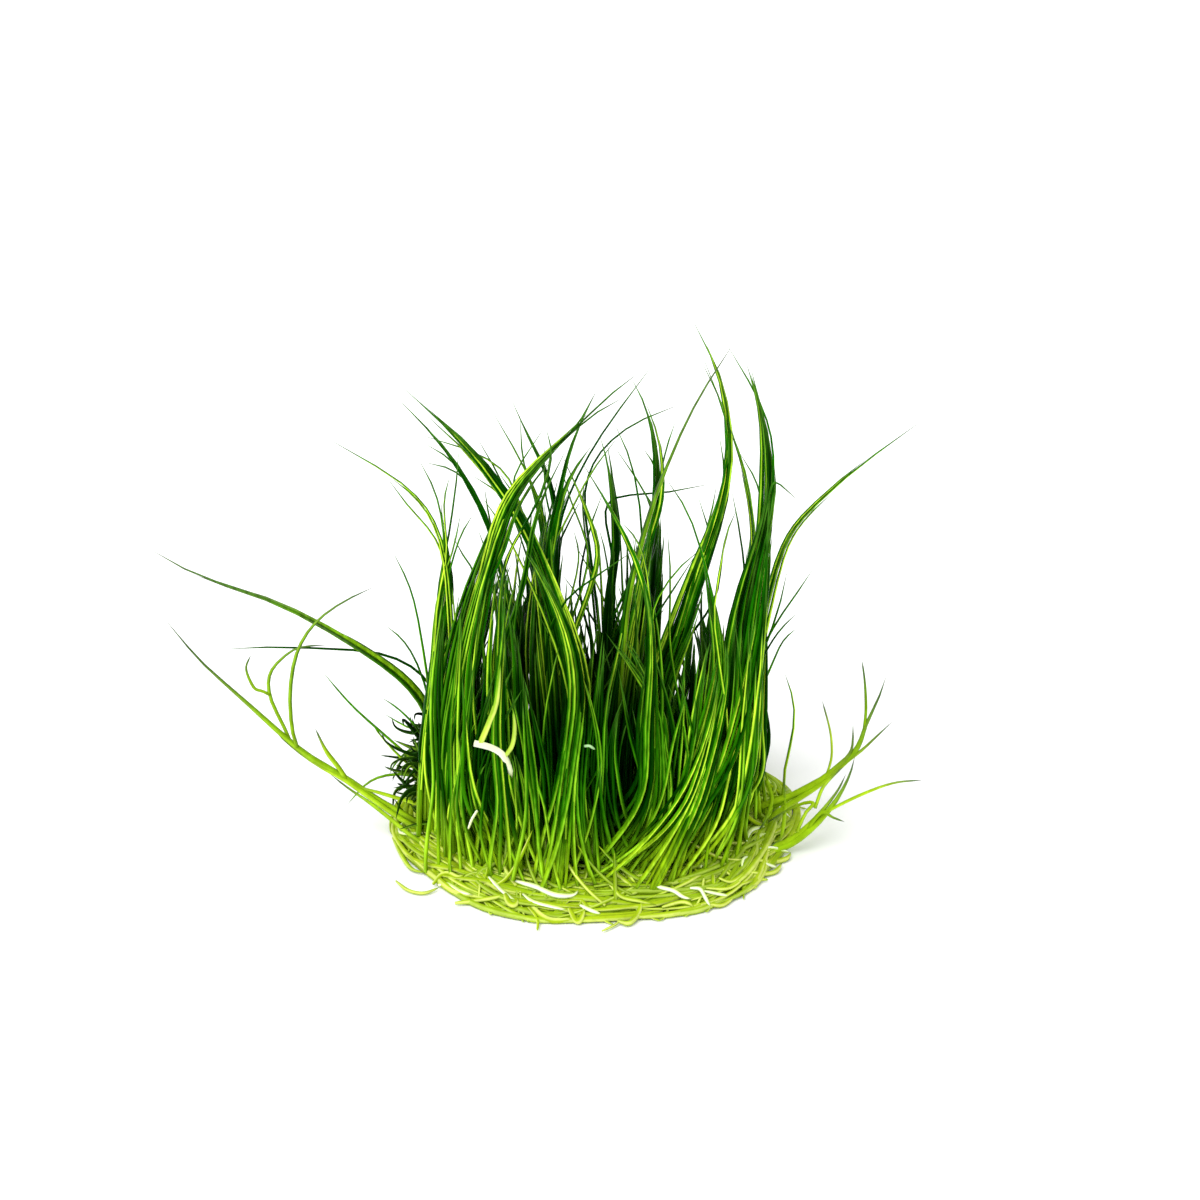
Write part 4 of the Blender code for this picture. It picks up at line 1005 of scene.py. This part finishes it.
# %% Traced locks
TRACED = {
    "tuft_front_2": [
        (4, -9, [(553, 888), (560, 821), (571, 747), (577, 690), (567, 632), (541, 575),
                 (524, 548)]),
        (3, -12, [(490, 872), (493, 821), (474, 747), (469, 677), (480, 607), (488, 570)]),
        (3, -13, [(524, 874), (530, 800), (520, 730), (516, 660), (508, 600)]),
    ],
    "tuft_left_fork": [
        (4, -12, [(506, 880), (503, 800, -23.4), (498, 745, -21.2), (499, 700, -20.2),
                  (503, 650, -17.6), (507, 590, -13)]),
        (2, -10, [(482, 870), (486, 800), (492, 720), (495, 650), (502, 588)]),
    ],
    "tuft_front_1": [
        (4, -11, [(446, 872), (441, 793), (437, 700), (441, 630), (446, 585)]),
        (3, -12, [(462, 880), (456, 810), (454, 730), (459, 650), (463, 600)]),
    ],
    "tuft_front_3": [
        (4, -10, [(594, 884), (626, 850), (655, 795), (660, 720), (641, 681), (606, 632)]),
        (3, -9, [(588, 880), (586, 812), (580, 756), (577, 700), (570, 640)]),
        (3, -8, [(610, 872), (600, 800), (604, 730), (618, 660), (628, 600)]),
    ],
    "tuft_front_right": [(4, -9, [(632, 890), (648, 858), (661, 795), (659, 725), (646, 678),
                                  (622, 632)])],
    "tuft_middle_right": [
        (5, -10, [(646, 886), (674, 830), (697, 774), (711, 730), (719, 667), (708, 590)]),
        (3, -12, [(662, 880), (680, 800), (706, 715), (722, 640)]),
    ],
    "tuft_front_5": [
        (3, -10, [(674, 872), (700, 803), (728, 747), (752, 680), (760, 622)]),
        (3, -12, [(722, 862), (744, 790), (758, 720), (762, 650)]),
    ],
    "tuft_right_sweep": [(3, -12, [(692, 868), (724, 800), (742, 745), (748, 680), (750, 620)])],
}
TRACED_DEPTH = 0.9            # how far into the mat a traced lock is rooted
FLOOR_GAP = 0.45              # the lowest that a strand's middle may lie


def rim_height(share):
    """Height of the mat's surface at a share of its radius."""
    return MAT_TOP * math.sqrt(max(0.0, 1 - min(share / 1.02, 1.0) ** 3.33))


def laid_on_mat(px, py, lift=0.0):
    """The point of the mat, or of the floor beside it, that the photo shows at a pixel."""
    near, far = np.array(seen_at(px, py, -45)), np.array(seen_at(px, py, 40))
    for part in np.linspace(0, 1, 800):
        x, y, z = near + (far - near) * part
        ground = rim_height(math.hypot(x, y) / mat_edge(math.atan2(y, x))) + lift
        if z <= max(ground, FLOOR_GAP):
            break
    return x, y, z


def traced_lock(size, top_depth, pixels, chance):
    """The leaves of a lock that the photo shows, side by side along its pixels."""
    foot = laid_on_mat(*pixels[0], -TRACED_DEPTH)
    depths = np.linspace(0, 1, len(pixels)) ** 0.8 * (top_depth - foot[1]) + foot[1]
    route = [foot] + [seen_at(*(*pixel, depth)[:3])
                      for pixel, depth in zip(pixels[1:], depths[1:])]
    line = soften(smooth_route(route, LINE_POINTS))
    leaves = []
    for place in range(size):
        steps = np.linspace(0, chance.uniform(0.84, 1.0) if place else 1.0, LINE_POINTS)
        apart = (place - (size - 1) / 2) * LOCK_STEP * chance.uniform(0.9, 1.2)
        flare = apart * (1 - 0.8 * ease(steps, 0.5, 1.0) + 2.2 * (1 - ease(steps, 0, 0.35)))
        own = read_at(line, steps)
        own[:, 0] += flare
        own[:, 1] += 0.4 * chance.uniform(-1, 1) * ease(steps, 0, 0.3)
        leaves.append((own, leaf_radii(chance.uniform(0.9, 1.2), 0.65), chance.random()))
    return leaves


# %% [markdown]
# ## One piece for each tuft
#
# A tuft's leaves, its tops and its traced locks come together in one mesh that takes
# the place of the tuft's node. One mesh for the whole plant would be shorter, but a
# tuft could then not be told from its neighbours.

# %% Tufts and their tops
chance = random.Random(52)
leaf_total = 0
for name, (count, feet, belly, pinch, points) in TUFTS.items():
    closes = 0.35 if name[-1].isdigit() else 0.95
    shade = SHADY.get(name, 1.0)
    leaves = tuft_leaves(count, feet, belly, pinch, points, chance, CALM.get(name, 1.0),
                         closes, SHORTENED.get(name, 1.0), shade)
    spine = spine_of(points)[0]
    for top in TOPS.get(name, []):
        leaves += top_leaves(spine, *top, chance, shade)
    for size, top_depth, pixels in TRACED.get(name, []):
        leaves += traced_lock(size, top_depth, pixels, chance)
    leaf_total += len(leaves)
    finish_piece(gather_leaves(name + "_leaves", leaves), leaf_green, "leaf_green", name)
print("tufts:", len(TUFTS), "leaves in them:", leaf_total)

# %% [markdown]
# ## Long leaves that stand clear
#
# A few leaves left their tuft and stand alone or in pairs. They are the same leaf
# form, laid along routes read from the photo, point by point.

# %% Single leaves and branches
LONG_LEAVES = {
    "leaf_bright": (2, 0.45, 1.5, 0.93, [(3, -14), (5.6, -9, 38.5), (7.7, -7, 48.5),
                    (10, -6, 57), (15, -4, 69), (21, -2, 78.5)]),
    "leaf_right_blade": (5, 0.7, 1.1, 0.5, [(21, -4.5), (24, -2, 22), (28.7, 0, 45.5),
                         (34, 1, 52.5), (39.5, 2, 57.5), (49, 3, 64.7)]),
    "leaf_fine_right": (2, 0.5, 0.9, 0.5, [(21.5, 7), (24, 7, 25), (24.7, 6, 44.7),
                        (22, 6, 58.5), (16.5, 8, 73)]),
    "leaf_centre_a": (2, 0.5, 0.85, 0.3, [(-2.5, 13), (-4, 9, 30), (-4.5, 7, 45),
                      (0.5, 7, 58), (10, 10, 71)]),
    "leaf_centre_b": (2, 0.5, 0.85, 0.3, [(4, 10.5), (1, 9, 35), (-0.5, 9, 52),
                      (5, 10, 60), (14, 12, 63.5)]),
    "leaf_left_hair": (3, 0.6, 0.85, 0.6, [(-18.5, -9.5), (-19.7, -10, 40), (-21, -8, 51),
                       (-25.5, -6, 57.5), (-37.7, -4, 64.7)]),
    "branch_left": (6, 0.55, 1.0, 0.45, [(-23, 6), (-23, 4, 12), (-26.2, 0, 22.5),
                    (-34, -2, 30.4), (-45.5, -2, 37.5), (-57.5, -2, 42),
                    (-64.4, -2, 46.4)]),
    "branch_back": (8, 1.2, 1.1, 0.5, [(-11, 24.5), (-12, 27, 10), (-13, 31, 18),
                    (-13, 37, 26)]),
}


def long_leaves(count, spread, thickness, tone, points, chance):
    """A few leaves along one route: the first follows it to its end."""
    middle, sides, fronts = spine_of(points)
    leaves = []
    for number in range(count):
        reach = 1.0 if number == 0 else 0.97 - 0.62 * number / count * chance.uniform(0.6, 1)
        share = np.linspace(0, reach, LINE_POINTS)
        turn = number * GOLDEN_TURN + 1.0
        out = read_at(sides, share) * math.cos(turn) + read_at(fronts, share) * math.sin(turn)
        apart = (number > 0) * spread * (1 - 0.6 * ease(share, 0.3, 0.9))
        line = read_at(middle, share) + out * apart[:, None]
        tone_and_shade = (tone + 0.19 * number) % 1.0
        leaves.append((line, leaf_radii(thickness, 0.4, HAIR_TIP), tone_and_shade))
    return leaves


for name, (count, spread, thickness, tone, points) in LONG_LEAVES.items():
    leaves = long_leaves(count, spread, thickness, tone, points, chance)
    paint = branch_green if name in ("branch_left", "leaf_bright") else leaf_green
    finish_piece(gather_leaves(name + "_leaves", leaves), paint, "leaf_green", name)
print("long leaves and branches:", len(LONG_LEAVES))

# %% [markdown]
# ## Runners and the pale rhizome
#
# Runners are the plant's creeping stems. They leave the mat low, turn up at their
# ends and carry a leaf at each joint. They are thicker than leaves and stay lime,
# and several run together where the photo shows a thick stem. Their routes are
# pixels with a depth in mm. The photo doesn't show the runner at the back, so its
# route is in mm. One fat tube with branches would be simpler, but it would lose the
# webs between the strands.

# %% Runners
RUNNERS = {
    "runner_left": [
        (0.50, [(424, 826, -7), (400, 812, -6), (379, 801, -5), (343, 776, -4.4),
                (322, 765, -4.2), (301, 751, -4), (272, 726, -4), (237, 694, -3.6),
                (201, 662, -3.2), (163, 617, -3)]),
        (0.44, [(420, 830, -8), (396, 816, -7), (372, 799, -5.6), (345, 780, -4.8),
                (326, 770, -4.5), (305, 757, -4.2), (286, 742, -4), (272, 728, -4)]),
        (0.32, [(424, 806, -7), (400, 799, -5.5), (380, 793, -5), (360, 787, -4.8),
                (341, 775, -4.4)]),
        (0.34, [(420, 842, -11), (404, 830, -9), (386, 815, -7), (366, 800, -5.6),
                (348, 788, -5), (330, 774, -4.6)]),
        (0.40, [(346, 779, -4.6), (338, 767, -4.2), (326, 751, -4), (315, 728, -4)]),
        (0.26, [(270, 695, -1), (262, 691, -1), (254, 688, -1), (246, 669, 0),
                (251, 655, 0)]),
    ],
    "runner_right_upper": [
        (0.56, [(758, 815, -4), (785, 799, -3), (810, 786, -3), (825, 778, -3),
                (841, 764, -3), (858, 748, -3), (866, 724, -3), (878, 700, -3),
                (887, 674, -3)]),
        (0.52, [(756, 808, -4.6), (775, 801, -4.2), (797, 793, -3.7), (822, 779, -3.5),
                (838, 766, -3.4), (851, 752, -3.2), (853, 738, -3), (853, 723, -3)]),
        (0.44, [(762, 822, -5.4), (790, 804, -4.4), (815, 788, -3.7), (835, 772, -3.2),
                (848, 760, -3), (861, 751, -3), (878, 735, -3), (894, 720, -3)]),
        (0.24, [(864, 730, -3), (866, 710, -3), (865, 684, -3), (862, 660, -3)]),
        (0.22, [(783, 840, -6), (785, 820, -5), (785, 804, -4.4), (784, 776, -4)]),
        (0.20, [(825, 778, -3.4), (830, 765, -3), (832, 751, -2.6), (830, 730, -2),
                (822, 700, -2)]),
    ],
    "runner_right_lower": [
        (0.60, [(756, 862, -13), (774, 851, -11.6), (792, 843, -11), (809, 830, -11),
                (827, 812, -10), (840, 794, -9), (850, 774, -7), (855, 756, -4.4)]),
        (0.46, [(758, 854, -12), (776, 846, -11.2), (793, 838, -11), (812, 822, -10.6),
                (826, 806, -9.6), (838, 790, -8.6), (846, 774, -6.6)]),
        (0.27, [(822, 816, -10.2), (832, 809, -10), (863, 794, -10), (894, 783, -10),
                (924, 780, -10)]),
        (0.30, [(808, 828, -11), (822, 812, -11), (832, 817, -11.5), (845, 822, -12)]),
        (0.28, [(815, 808, -9.8), (822, 789, -7.6), (830, 779, -5.4), (844, 766, -3.6)]),
        (0.28, [(797, 832, -11), (806, 812, -9.4), (815, 803, -8.4), (804, 803, -7.4),
                (784, 812, -6.6), (766, 824, -8)]),
        (0.30, [(766, 780, -5), (772, 798, -6), (767, 817, -7.4), (758, 832, -9)]),
        (0.30, [(785, 806, -5), (783, 829, -8.6), (779, 841, -10.6), (766, 848, -12)]),
    ],
    "runner_back": [
        (0.60, [(5.5, 25.5, 2.6), (9, 30.5, 5.5), (12, 34, 8), (15, 39, 14)]),
        (0.34, [(8.6, 30, 5.3), (9.4, 31.6, 9), (9, 32.4, 13)]),
    ],
    "leaf_runner_arch": [(0.32, [(297, 747, -4.2), (292, 730, -4.8), (290, 691, -5.6),
                                 (297, 652, -6), (315, 623, -6), (343, 602, -6),
                                 (376, 586, -6)])],
    "leaf_runner_loop": [(0.30, [(290, 741, -4), (285, 729, -3), (270, 697, -1),
                                 (270, 673, 0), (286, 655, 0.6), (301, 647, 1),
                                 (329, 645, 1)])],
}


def stem(points, radius, tone, tip=HAIR_TIP, taper_from=0.35, start=1.0):
    """A creeping stem: full from near its start, then down to its tip."""
    route = soften(smooth_route(points, LINE_POINTS), 3)
    along = np.linspace(0, 1, LINE_POINTS)
    swell = start + (1 - start) * ease(along, 0, 0.25)
    return route, tip + (radius * swell - tip) * (1 - ease(along, taper_from, 1.0)), tone


def lying(strand):
    """Keep a strand on the floor where its curve would dip below."""
    route, radii, tone = strand
    route[:, 2] = np.maximum(route[:, 2], radii + 0.05)
    return route, radii, tone


for name, stems in RUNNERS.items():
    seen = name != "runner_back"
    leaves = [lying(stem([seen_at(*point) for point in points] if seen else points,
                         radius, (0.35 + 0.31 * number) % 1.0))
              for number, (radius, points) in enumerate(stems)]
    finish_piece(gather_leaves(name + "_stem", leaves), runner_lime, "runner_lime", name)

RHIZOME = [(0.50, 0.42, 0.9, [(-16.2, -21.5, 24.4), (-13.6, -22, 23.9), (-11.9, -22, 22.4),
                              (-10.8, -22, 19.0)]),
           (0.20, 0.14, 0.9, [(-16, -20.6, 12.9), (-16.8, -20.9, 11.6), (-17.4, -21, 9.9)]),
           (0.22, 0.14, 0.9, [(-0.4, -19.2, 22.7), (0.3, -19.5, 22.9), (1.1, -19.3, 22.2)])]
YOUNG_LEAVES = [(0.46, 0.16, 0.8, [(-15.4, -21.6, 24.2), (-14.2, -21, 27), (-13, -20.4, 30.4),
                                   (-12.3, -19.4, 36)]),
                (0.36, 0.18, 0.6, [(-12.0, -22, 22.3), (-10.8, -21.6, 24), (-10.4, -21.2, 26.6),
                                   (-10.6, -21, 29.6)])]
rhizome = [stem(points, radius, tone, tip, 0.6) for radius, tip, tone, points in RHIZOME]
finish_piece(gather_leaves("rhizome_pale_stem", rhizome), pale_root_and_glint, "rhizome_pale",
             "rhizome_pale")
young = [stem(points, radius, tone, tip, 0.5) for radius, tip, tone, points in YOUNG_LEAVES]
finish_piece(gather_leaves("rhizome_pale_leaves", young), young_lime, "rhizome_pale",
             "rhizome_pale")
print("runners:", len(RUNNERS), "and the rhizome")

# %% [markdown]
# ## The root mat
#
# The mat is hundreds of short stems and roots, grown into each other in the round
# cup. Under them lies a low lumpy pad, dark in the middle where no light falls. On
# it the stems are laid in arcs that mostly follow the rim, over and under each
# other, and a few whitish roots cross them.

# %% Pad
PAD_INSET = 1.0


def make_pad():
    form = bmesh.new()
    bmesh.ops.create_icosphere(form, subdivisions=6, radius=1.0)
    bmesh.ops.bisect_plane(form, geom=form.verts[:] + form.edges[:] + form.faces[:],
                           plane_co=(0, 0, 0), plane_no=(0, 0, -1), clear_outer=True)
    bmesh.ops.remove_doubles(form, verts=form.verts, dist=0.002)
    bmesh.ops.contextual_create(form, geom=[e for e in form.edges if e.is_boundary])
    for vert in form.verts:
        angle = math.atan2(vert.co.y, vert.co.x)
        share = math.hypot(vert.co.x, vert.co.y) ** 0.6
        radius = mat_edge(angle) * share * PAD_INSET
        lump = (math.sin(11 * angle + 7 * share) * math.sin(19 * share + 2)
                + 0.6 * math.sin(23 * angle - 9 * share) * math.sin(31 * share))
        height = (MAT_TOP - 0.2) * max(vert.co.z, 0) * (1 + 0.08 * lump)
        vert.co = Vector((radius * math.cos(angle), radius * math.sin(angle), height)) * MM
    bmesh.ops.recalc_face_normals(form, faces=form.faces)
    mesh = bpy.data.meshes.new("root_pad")
    form.to_mesh(mesh)
    form.free()
    mesh.shade_smooth()
    return link_new("root_pad", mesh)


def rim_folds(tree, place, radius):
    """Fine folds that run round the mat, as 0 to 1. Directions are used, so no seam."""
    round_it = tree.nodes.new("ShaderNodeVectorMath")
    round_it.operation = "NORMALIZE"
    tree.links.new(place, round_it.inputs[0])
    wide = tree.nodes.new("ShaderNodeVectorMath")
    wide.operation = "SCALE"
    wide.inputs["Scale"].default_value = 9.0
    tree.links.new(round_it.outputs[0], wide.inputs[0])
    split = tree.nodes.new("ShaderNodeSeparateXYZ")
    tree.links.new(wide.outputs[0], split.inputs[0])
    across = tree.nodes.new("ShaderNodeMath")
    across.operation = "MULTIPLY"
    across.inputs[1].default_value = 1500.0
    tree.links.new(radius, across.inputs[0])
    joined = tree.nodes.new("ShaderNodeCombineXYZ")
    for axis, source in (("X", split.outputs["X"]), ("Y", split.outputs["Y"]),
                         ("Z", across.outputs[0])):
        tree.links.new(source, joined.inputs[axis])
    lines = tree.nodes.new("ShaderNodeTexNoise")
    lines.inputs["Scale"].default_value = 1.0
    lines.inputs["Detail"].default_value = 3.0
    tree.links.new(joined.outputs[0], lines.inputs["Vector"])
    return ramp_between(tree, lines.outputs["Fac"], 0.34, 0.66)


def pad_material():
    paint = bpy.data.materials.new("pad_green")
    paint.use_nodes = True
    tree = paint.node_tree
    shader = tree.nodes["Principled BSDF"]
    place = tree.nodes.new("ShaderNodeTexCoord")
    noise = tree.nodes.new("ShaderNodeTexNoise")
    noise.inputs["Scale"].default_value = 420.0
    noise.inputs["Detail"].default_value = 6.0
    tree.links.new(place.outputs["Object"], noise.inputs["Vector"])
    flat = tree.nodes.new("ShaderNodeVectorMath")
    flat.operation = "LENGTH"
    tree.links.new(place.outputs["Object"], flat.inputs[0])
    folds = rim_folds(tree, place.outputs["Object"], flat.outputs["Value"])
    outer = ramp_between(tree, flat.outputs["Value"], 0.0195, 0.0275)
    patch = ramp_between(tree, noise.outputs["Fac"], 0.35, 0.68)
    inside = mix_colours(tree, patch, (0.004, 0.020, 0.0005, 1), (0.07, 0.17, 0.003, 1))
    rim = mix_colours(tree, folds, (0.19, 0.34, 0.004, 1), (0.42, 0.60, 0.016, 1))
    tree.links.new(mix_colours(tree, outer, inside, rim), shader.inputs["Base Color"])
    gloss = ramp_between(tree, noise.outputs["Fac"], 0.3, 0.7, 0.25, 0.55)
    tree.links.new(gloss, shader.inputs["Roughness"])
    relief = tree.nodes.new("ShaderNodeBump")
    relief.inputs["Distance"].default_value = 0.5 * MM
    tree.links.new(folds, relief.inputs["Height"])
    tree.links.new(relief.outputs["Normal"], shader.inputs["Normal"])
    shader.inputs["Specular IOR Level"].default_value = 0.1
    shader.inputs["Specular Tint"].default_value = GLOSS_TINT
    return paint


finish_piece(make_pad(), pad_material(), "root_mat", "root_mat")
print("pad radius in mm:", round(MAT_RADIUS * PAD_INSET, 1))

# %% [markdown]
# ## Stems, roots and dark leaves on the mat
#
# Most stems are laid by chance: along the rim, across the top, in and up from the rim
# as short leaves, or out over it. Those that the photo shows one by one are dropped on
# the mat along the camera's line of sight, so they lie on it from any side. At the
# back left, almost black leaves hang curled against the tufts.
# A cloth of woven threads would be too even for any of this.

# %% Woven stems and pale roots
RIM_STEMS = 430
LEAF_BASES = 70
TOP_STEMS = 90
PALE_ROOTS = 12
DARK_LEAVES = 150
RIM_ENDS = 46
SEEN_ROOTS_AND_GLINTS = [
    (0.38, [(438, 885), (446, 884), (453, 887), (461, 892), (473, 895)]),
    (0.44, [(516, 881), (526, 884), (537, 887), (549, 893), (560, 896), (574, 895),
            (579, 889)]),
    (0.30, [(489, 877), (499, 888), (507, 895), (517, 902)]),
    (0.28, [(523, 894), (532, 901), (549, 906), (568, 910)]),
    (0.34, [(580, 905), (590, 910), (601, 914)]),
    (0.38, [(509, 852), (513, 857), (519, 859), (528, 860)]),
    (0.34, [(566, 838), (579, 844), (596, 848)]),
    (0.36, [(651, 885), (663, 888), (674, 891), (683, 897), (692, 899)]),
    (0.34, [(690, 888), (700, 889), (705, 897), (711, 908)]),
    (0.30, [(704, 891), (718, 894), (729, 896)]),
    (0.30, [(760, 849), (773, 848), (791, 853)]),
    (0.28, [(764, 863), (778, 868)]),
    (0.24, [(690, 836), (698, 850)]),
    (0.22, [(701, 857), (701, 868)]),
    # The last five are tiny pale stubs in the dark gaps between the tufts: painted glints.
    (0.24, [(664, 832), (668, 834)]),
    (0.24, [(684, 824), (688, 827)]),
    (0.24, [(723, 812), (726, 816)]),
    (0.26, [(725, 821), (728, 823), (727, 827)]),
    (0.24, [(725, 832), (729, 834)]),
]
SEEN_STEMS = [
    (0.38, [(433, 884), (441, 875), (449, 873), (458, 877), (466, 874)]),
    (0.48, [(505, 894), (509, 903), (515, 905), (518, 898)]),
    (0.42, [(569, 908), (575, 920), (580, 921), (585, 908)]),
    (0.34, [(393, 838), (403, 858), (412, 869), (426, 873)]),
    (0.27, [(396, 881), (408, 890), (424, 893), (440, 887)]),
    (0.20, [(602, 931), (613, 926), (622, 920)]),
    (0.42, [(618, 921), (629, 923), (638, 914), (642, 900)]),
    (0.34, [(602, 874), (612, 886), (622, 897), (640, 901), (657, 905)]),
    (0.40, [(612, 869), (622, 878), (633, 887)]),
    (0.42, [(615, 858), (624, 870), (636, 884)]),
    (0.32, [(706, 888), (724, 889), (735, 885), (745, 876)]),
    (0.34, [(719, 878), (730, 882), (741, 876), (752, 866)]),
    (0.34, [(662, 907), (680, 902), (690, 904), (694, 909)]),
    (0.38, [(750, 872), (764, 874), (776, 871), (782, 863)]),
    (0.42, [(756, 860), (772, 862), (787, 858), (791, 852)]),
    (0.34, [(708, 904), (722, 905), (734, 897)]),
    (0.22, [(528, 907), (535, 915), (538, 923), (537, 931)]),
    (0.40, [(455, 903), (474, 901), (492, 898), (508, 894)]),
    (0.36, [(742, 884), (757, 879), (769, 880)]),
]


def on_mat(angle, share, lift, radius):
    reach = mat_edge(angle) * share
    z = max(rim_height(share) + lift, radius + 0.12)
    return (reach * math.cos(angle), reach * math.sin(angle), z)


def rim_stem(chance, radius, low=0.72, high=1.0, span=(18, 66), lift=(-0.5, 0.3)):
    """A stem that follows the rim for a while, over and under its neighbours."""
    start = chance.uniform(0, math.tau)
    turn = math.radians(chance.uniform(*span)) * chance.choice((-1, 1))
    share = chance.uniform(low, high)
    drift = chance.uniform(-0.10, 0.08) * (3.4 if chance.random() < 0.45 else 1.0)
    raised = chance.uniform(*lift)
    bow = chance.uniform(-0.05, 0.05)
    route = []
    for part in np.linspace(0, 1, 5):
        here = min(share + drift * part + bow * math.sin(math.pi * part), 1.03)
        weave = 0.30 * math.sin(3.0 * part + start * 11)
        route.append(on_mat(start + turn * part, here, raised + weave, radius))
    return lying(stem(route, radius, chance.random(), 0.14, 0.55, 0.5))


def leaf_base(chance, radius):
    """A short leaf that starts at the rim and sweeps in and up, off the mat."""
    angle = chance.uniform(0, math.tau)
    turn = math.radians(chance.uniform(-26, 26))
    start = chance.uniform(0.80, 0.98)
    rise = chance.uniform(2.0, 8.0)
    inward = chance.uniform(0.10, 0.30)
    route = []
    for part in np.linspace(0, 1, 5):
        lift = 0.2 + rise * part**1.8
        route.append(on_mat(angle + turn * part, start - inward * part, lift, radius))
    return lying(stem(route, radius, chance.random(), 0.14, 0.5))


def top_stem(chance, radius):
    """A short stem lying any way across the top of the mat."""
    angle = chance.uniform(0, math.tau)
    share = math.sqrt(chance.random()) * 0.93
    x, y = (mat_edge(angle) * share * f(angle) for f in (math.cos, math.sin))
    heading = chance.uniform(0, math.tau)
    bend = chance.uniform(-0.9, 0.9)
    length = chance.uniform(6, 14)
    route = []
    for part in np.linspace(-0.5, 0.5, 4):
        way = heading + bend * part
        px, py = x + length * part * math.cos(way), y + length * part * math.sin(way)
        angle = math.atan2(py, px)
        share = min(math.hypot(px, py) / mat_edge(angle), 1.02)
        route.append(on_mat(angle, share, chance.uniform(-0.2, 0.7), radius))
    return lying(stem(route, radius, chance.random(), 0.14, 0.6, 0.5))


def rim_end(chance, radius):
    """A root whose end hangs out over the rim and curls to the floor."""
    angle = chance.uniform(0, math.tau)
    turn = math.radians(chance.uniform(-14, 14))
    out = chance.uniform(0.01, 0.08)
    route = [on_mat(angle + turn * part, share, lift, radius) for part, share, lift in
             ((0, 0.90, 0.3), (0.4, 0.98, -0.2), (0.8, 1.0 + out * 0.6, 0.0),
              (1, 1.0 + out, chance.uniform(0, 0.9)))]
    return lying(stem(route, radius, chance.random(), 0.13, 0.4))


def seen_on_mat(radius, pixels, chance):
    """A strand that the photo shows, laid on the mat or on the floor beside it."""
    route = [laid_on_mat(*pixel, radius + 0.3) for pixel in pixels]
    return lying(stem(route, radius, 0.5 + 0.5 * chance.random(), 0.15, 0.7, 0.6))


def dark_leaf(chance):
    """A dark leaf that hangs, curled, from the tufts at the back left."""
    angle = math.radians(chance.uniform(158, 200))
    reach = chance.uniform(22.5, 24.5)
    place = np.array([reach * math.cos(angle), reach * math.sin(angle) - 1,
                      chance.uniform(2.5, 15)])
    way = np.array([chance.uniform(-1, -0.1), chance.uniform(-0.5, 0.5),
                    chance.uniform(-0.7, 0.6)])
    curl = np.array([chance.uniform(-0.6, 0.6), chance.uniform(-0.5, 0.5),
                     chance.uniform(-0.8, 0.8)])
    size = chance.uniform(3.5, 8.5)
    route = [place + way * size * part + curl * size * 0.5 * math.sin(3 * part)
             for part in (0, 0.35, 0.7, 1)]
    return lying(stem(route, chance.uniform(0.22, 0.42), chance.random(), 0.12, 0.4))


rim = [rim_stem(chance, chance.uniform(0.26, 0.55)) for _ in range(RIM_STEMS)]
rim += [top_stem(chance, chance.uniform(0.22, 0.36)) for _ in range(TOP_STEMS)]
rim += [leaf_base(chance, chance.uniform(0.26, 0.38)) for _ in range(LEAF_BASES)]
rim += [rim_end(chance, chance.uniform(0.18, 0.32)) for _ in range(RIM_ENDS)]
rim += [seen_on_mat(radius, pixels, chance) for radius, pixels in SEEN_STEMS]
finish_piece(gather_leaves("woven_stems", rim), rim_lime, "root_mat", "root_mat")
pale = [rim_stem(chance, chance.uniform(0.20, 0.34), 0.88, 1.0, (5, 16), (0.2, 0.6))
        for _ in range(PALE_ROOTS)]
# Seen roots, and five tiny pale stubs that are painted glints.
pale += [seen_on_mat(radius, pixels, chance) for radius, pixels in SEEN_ROOTS_AND_GLINTS]
finish_piece(gather_leaves("pale_roots_and_glints", pale), pale_root_and_glint, "root_mat", "root_mat")
dark = [dark_leaf(chance) for _ in range(DARK_LEAVES)]
finish_piece(gather_leaves("dark_leaves", dark), dark_green, "leaf_green", "tuft_back_11")
print("stems woven into the mat:", len(rim), "pale roots:", len(pale))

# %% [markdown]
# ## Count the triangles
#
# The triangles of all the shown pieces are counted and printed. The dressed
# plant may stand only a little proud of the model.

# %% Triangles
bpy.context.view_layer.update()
triangles = sum(len(face.vertices) - 2 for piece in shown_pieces() for face in piece.data.polygons)
print("triangles:", triangles)
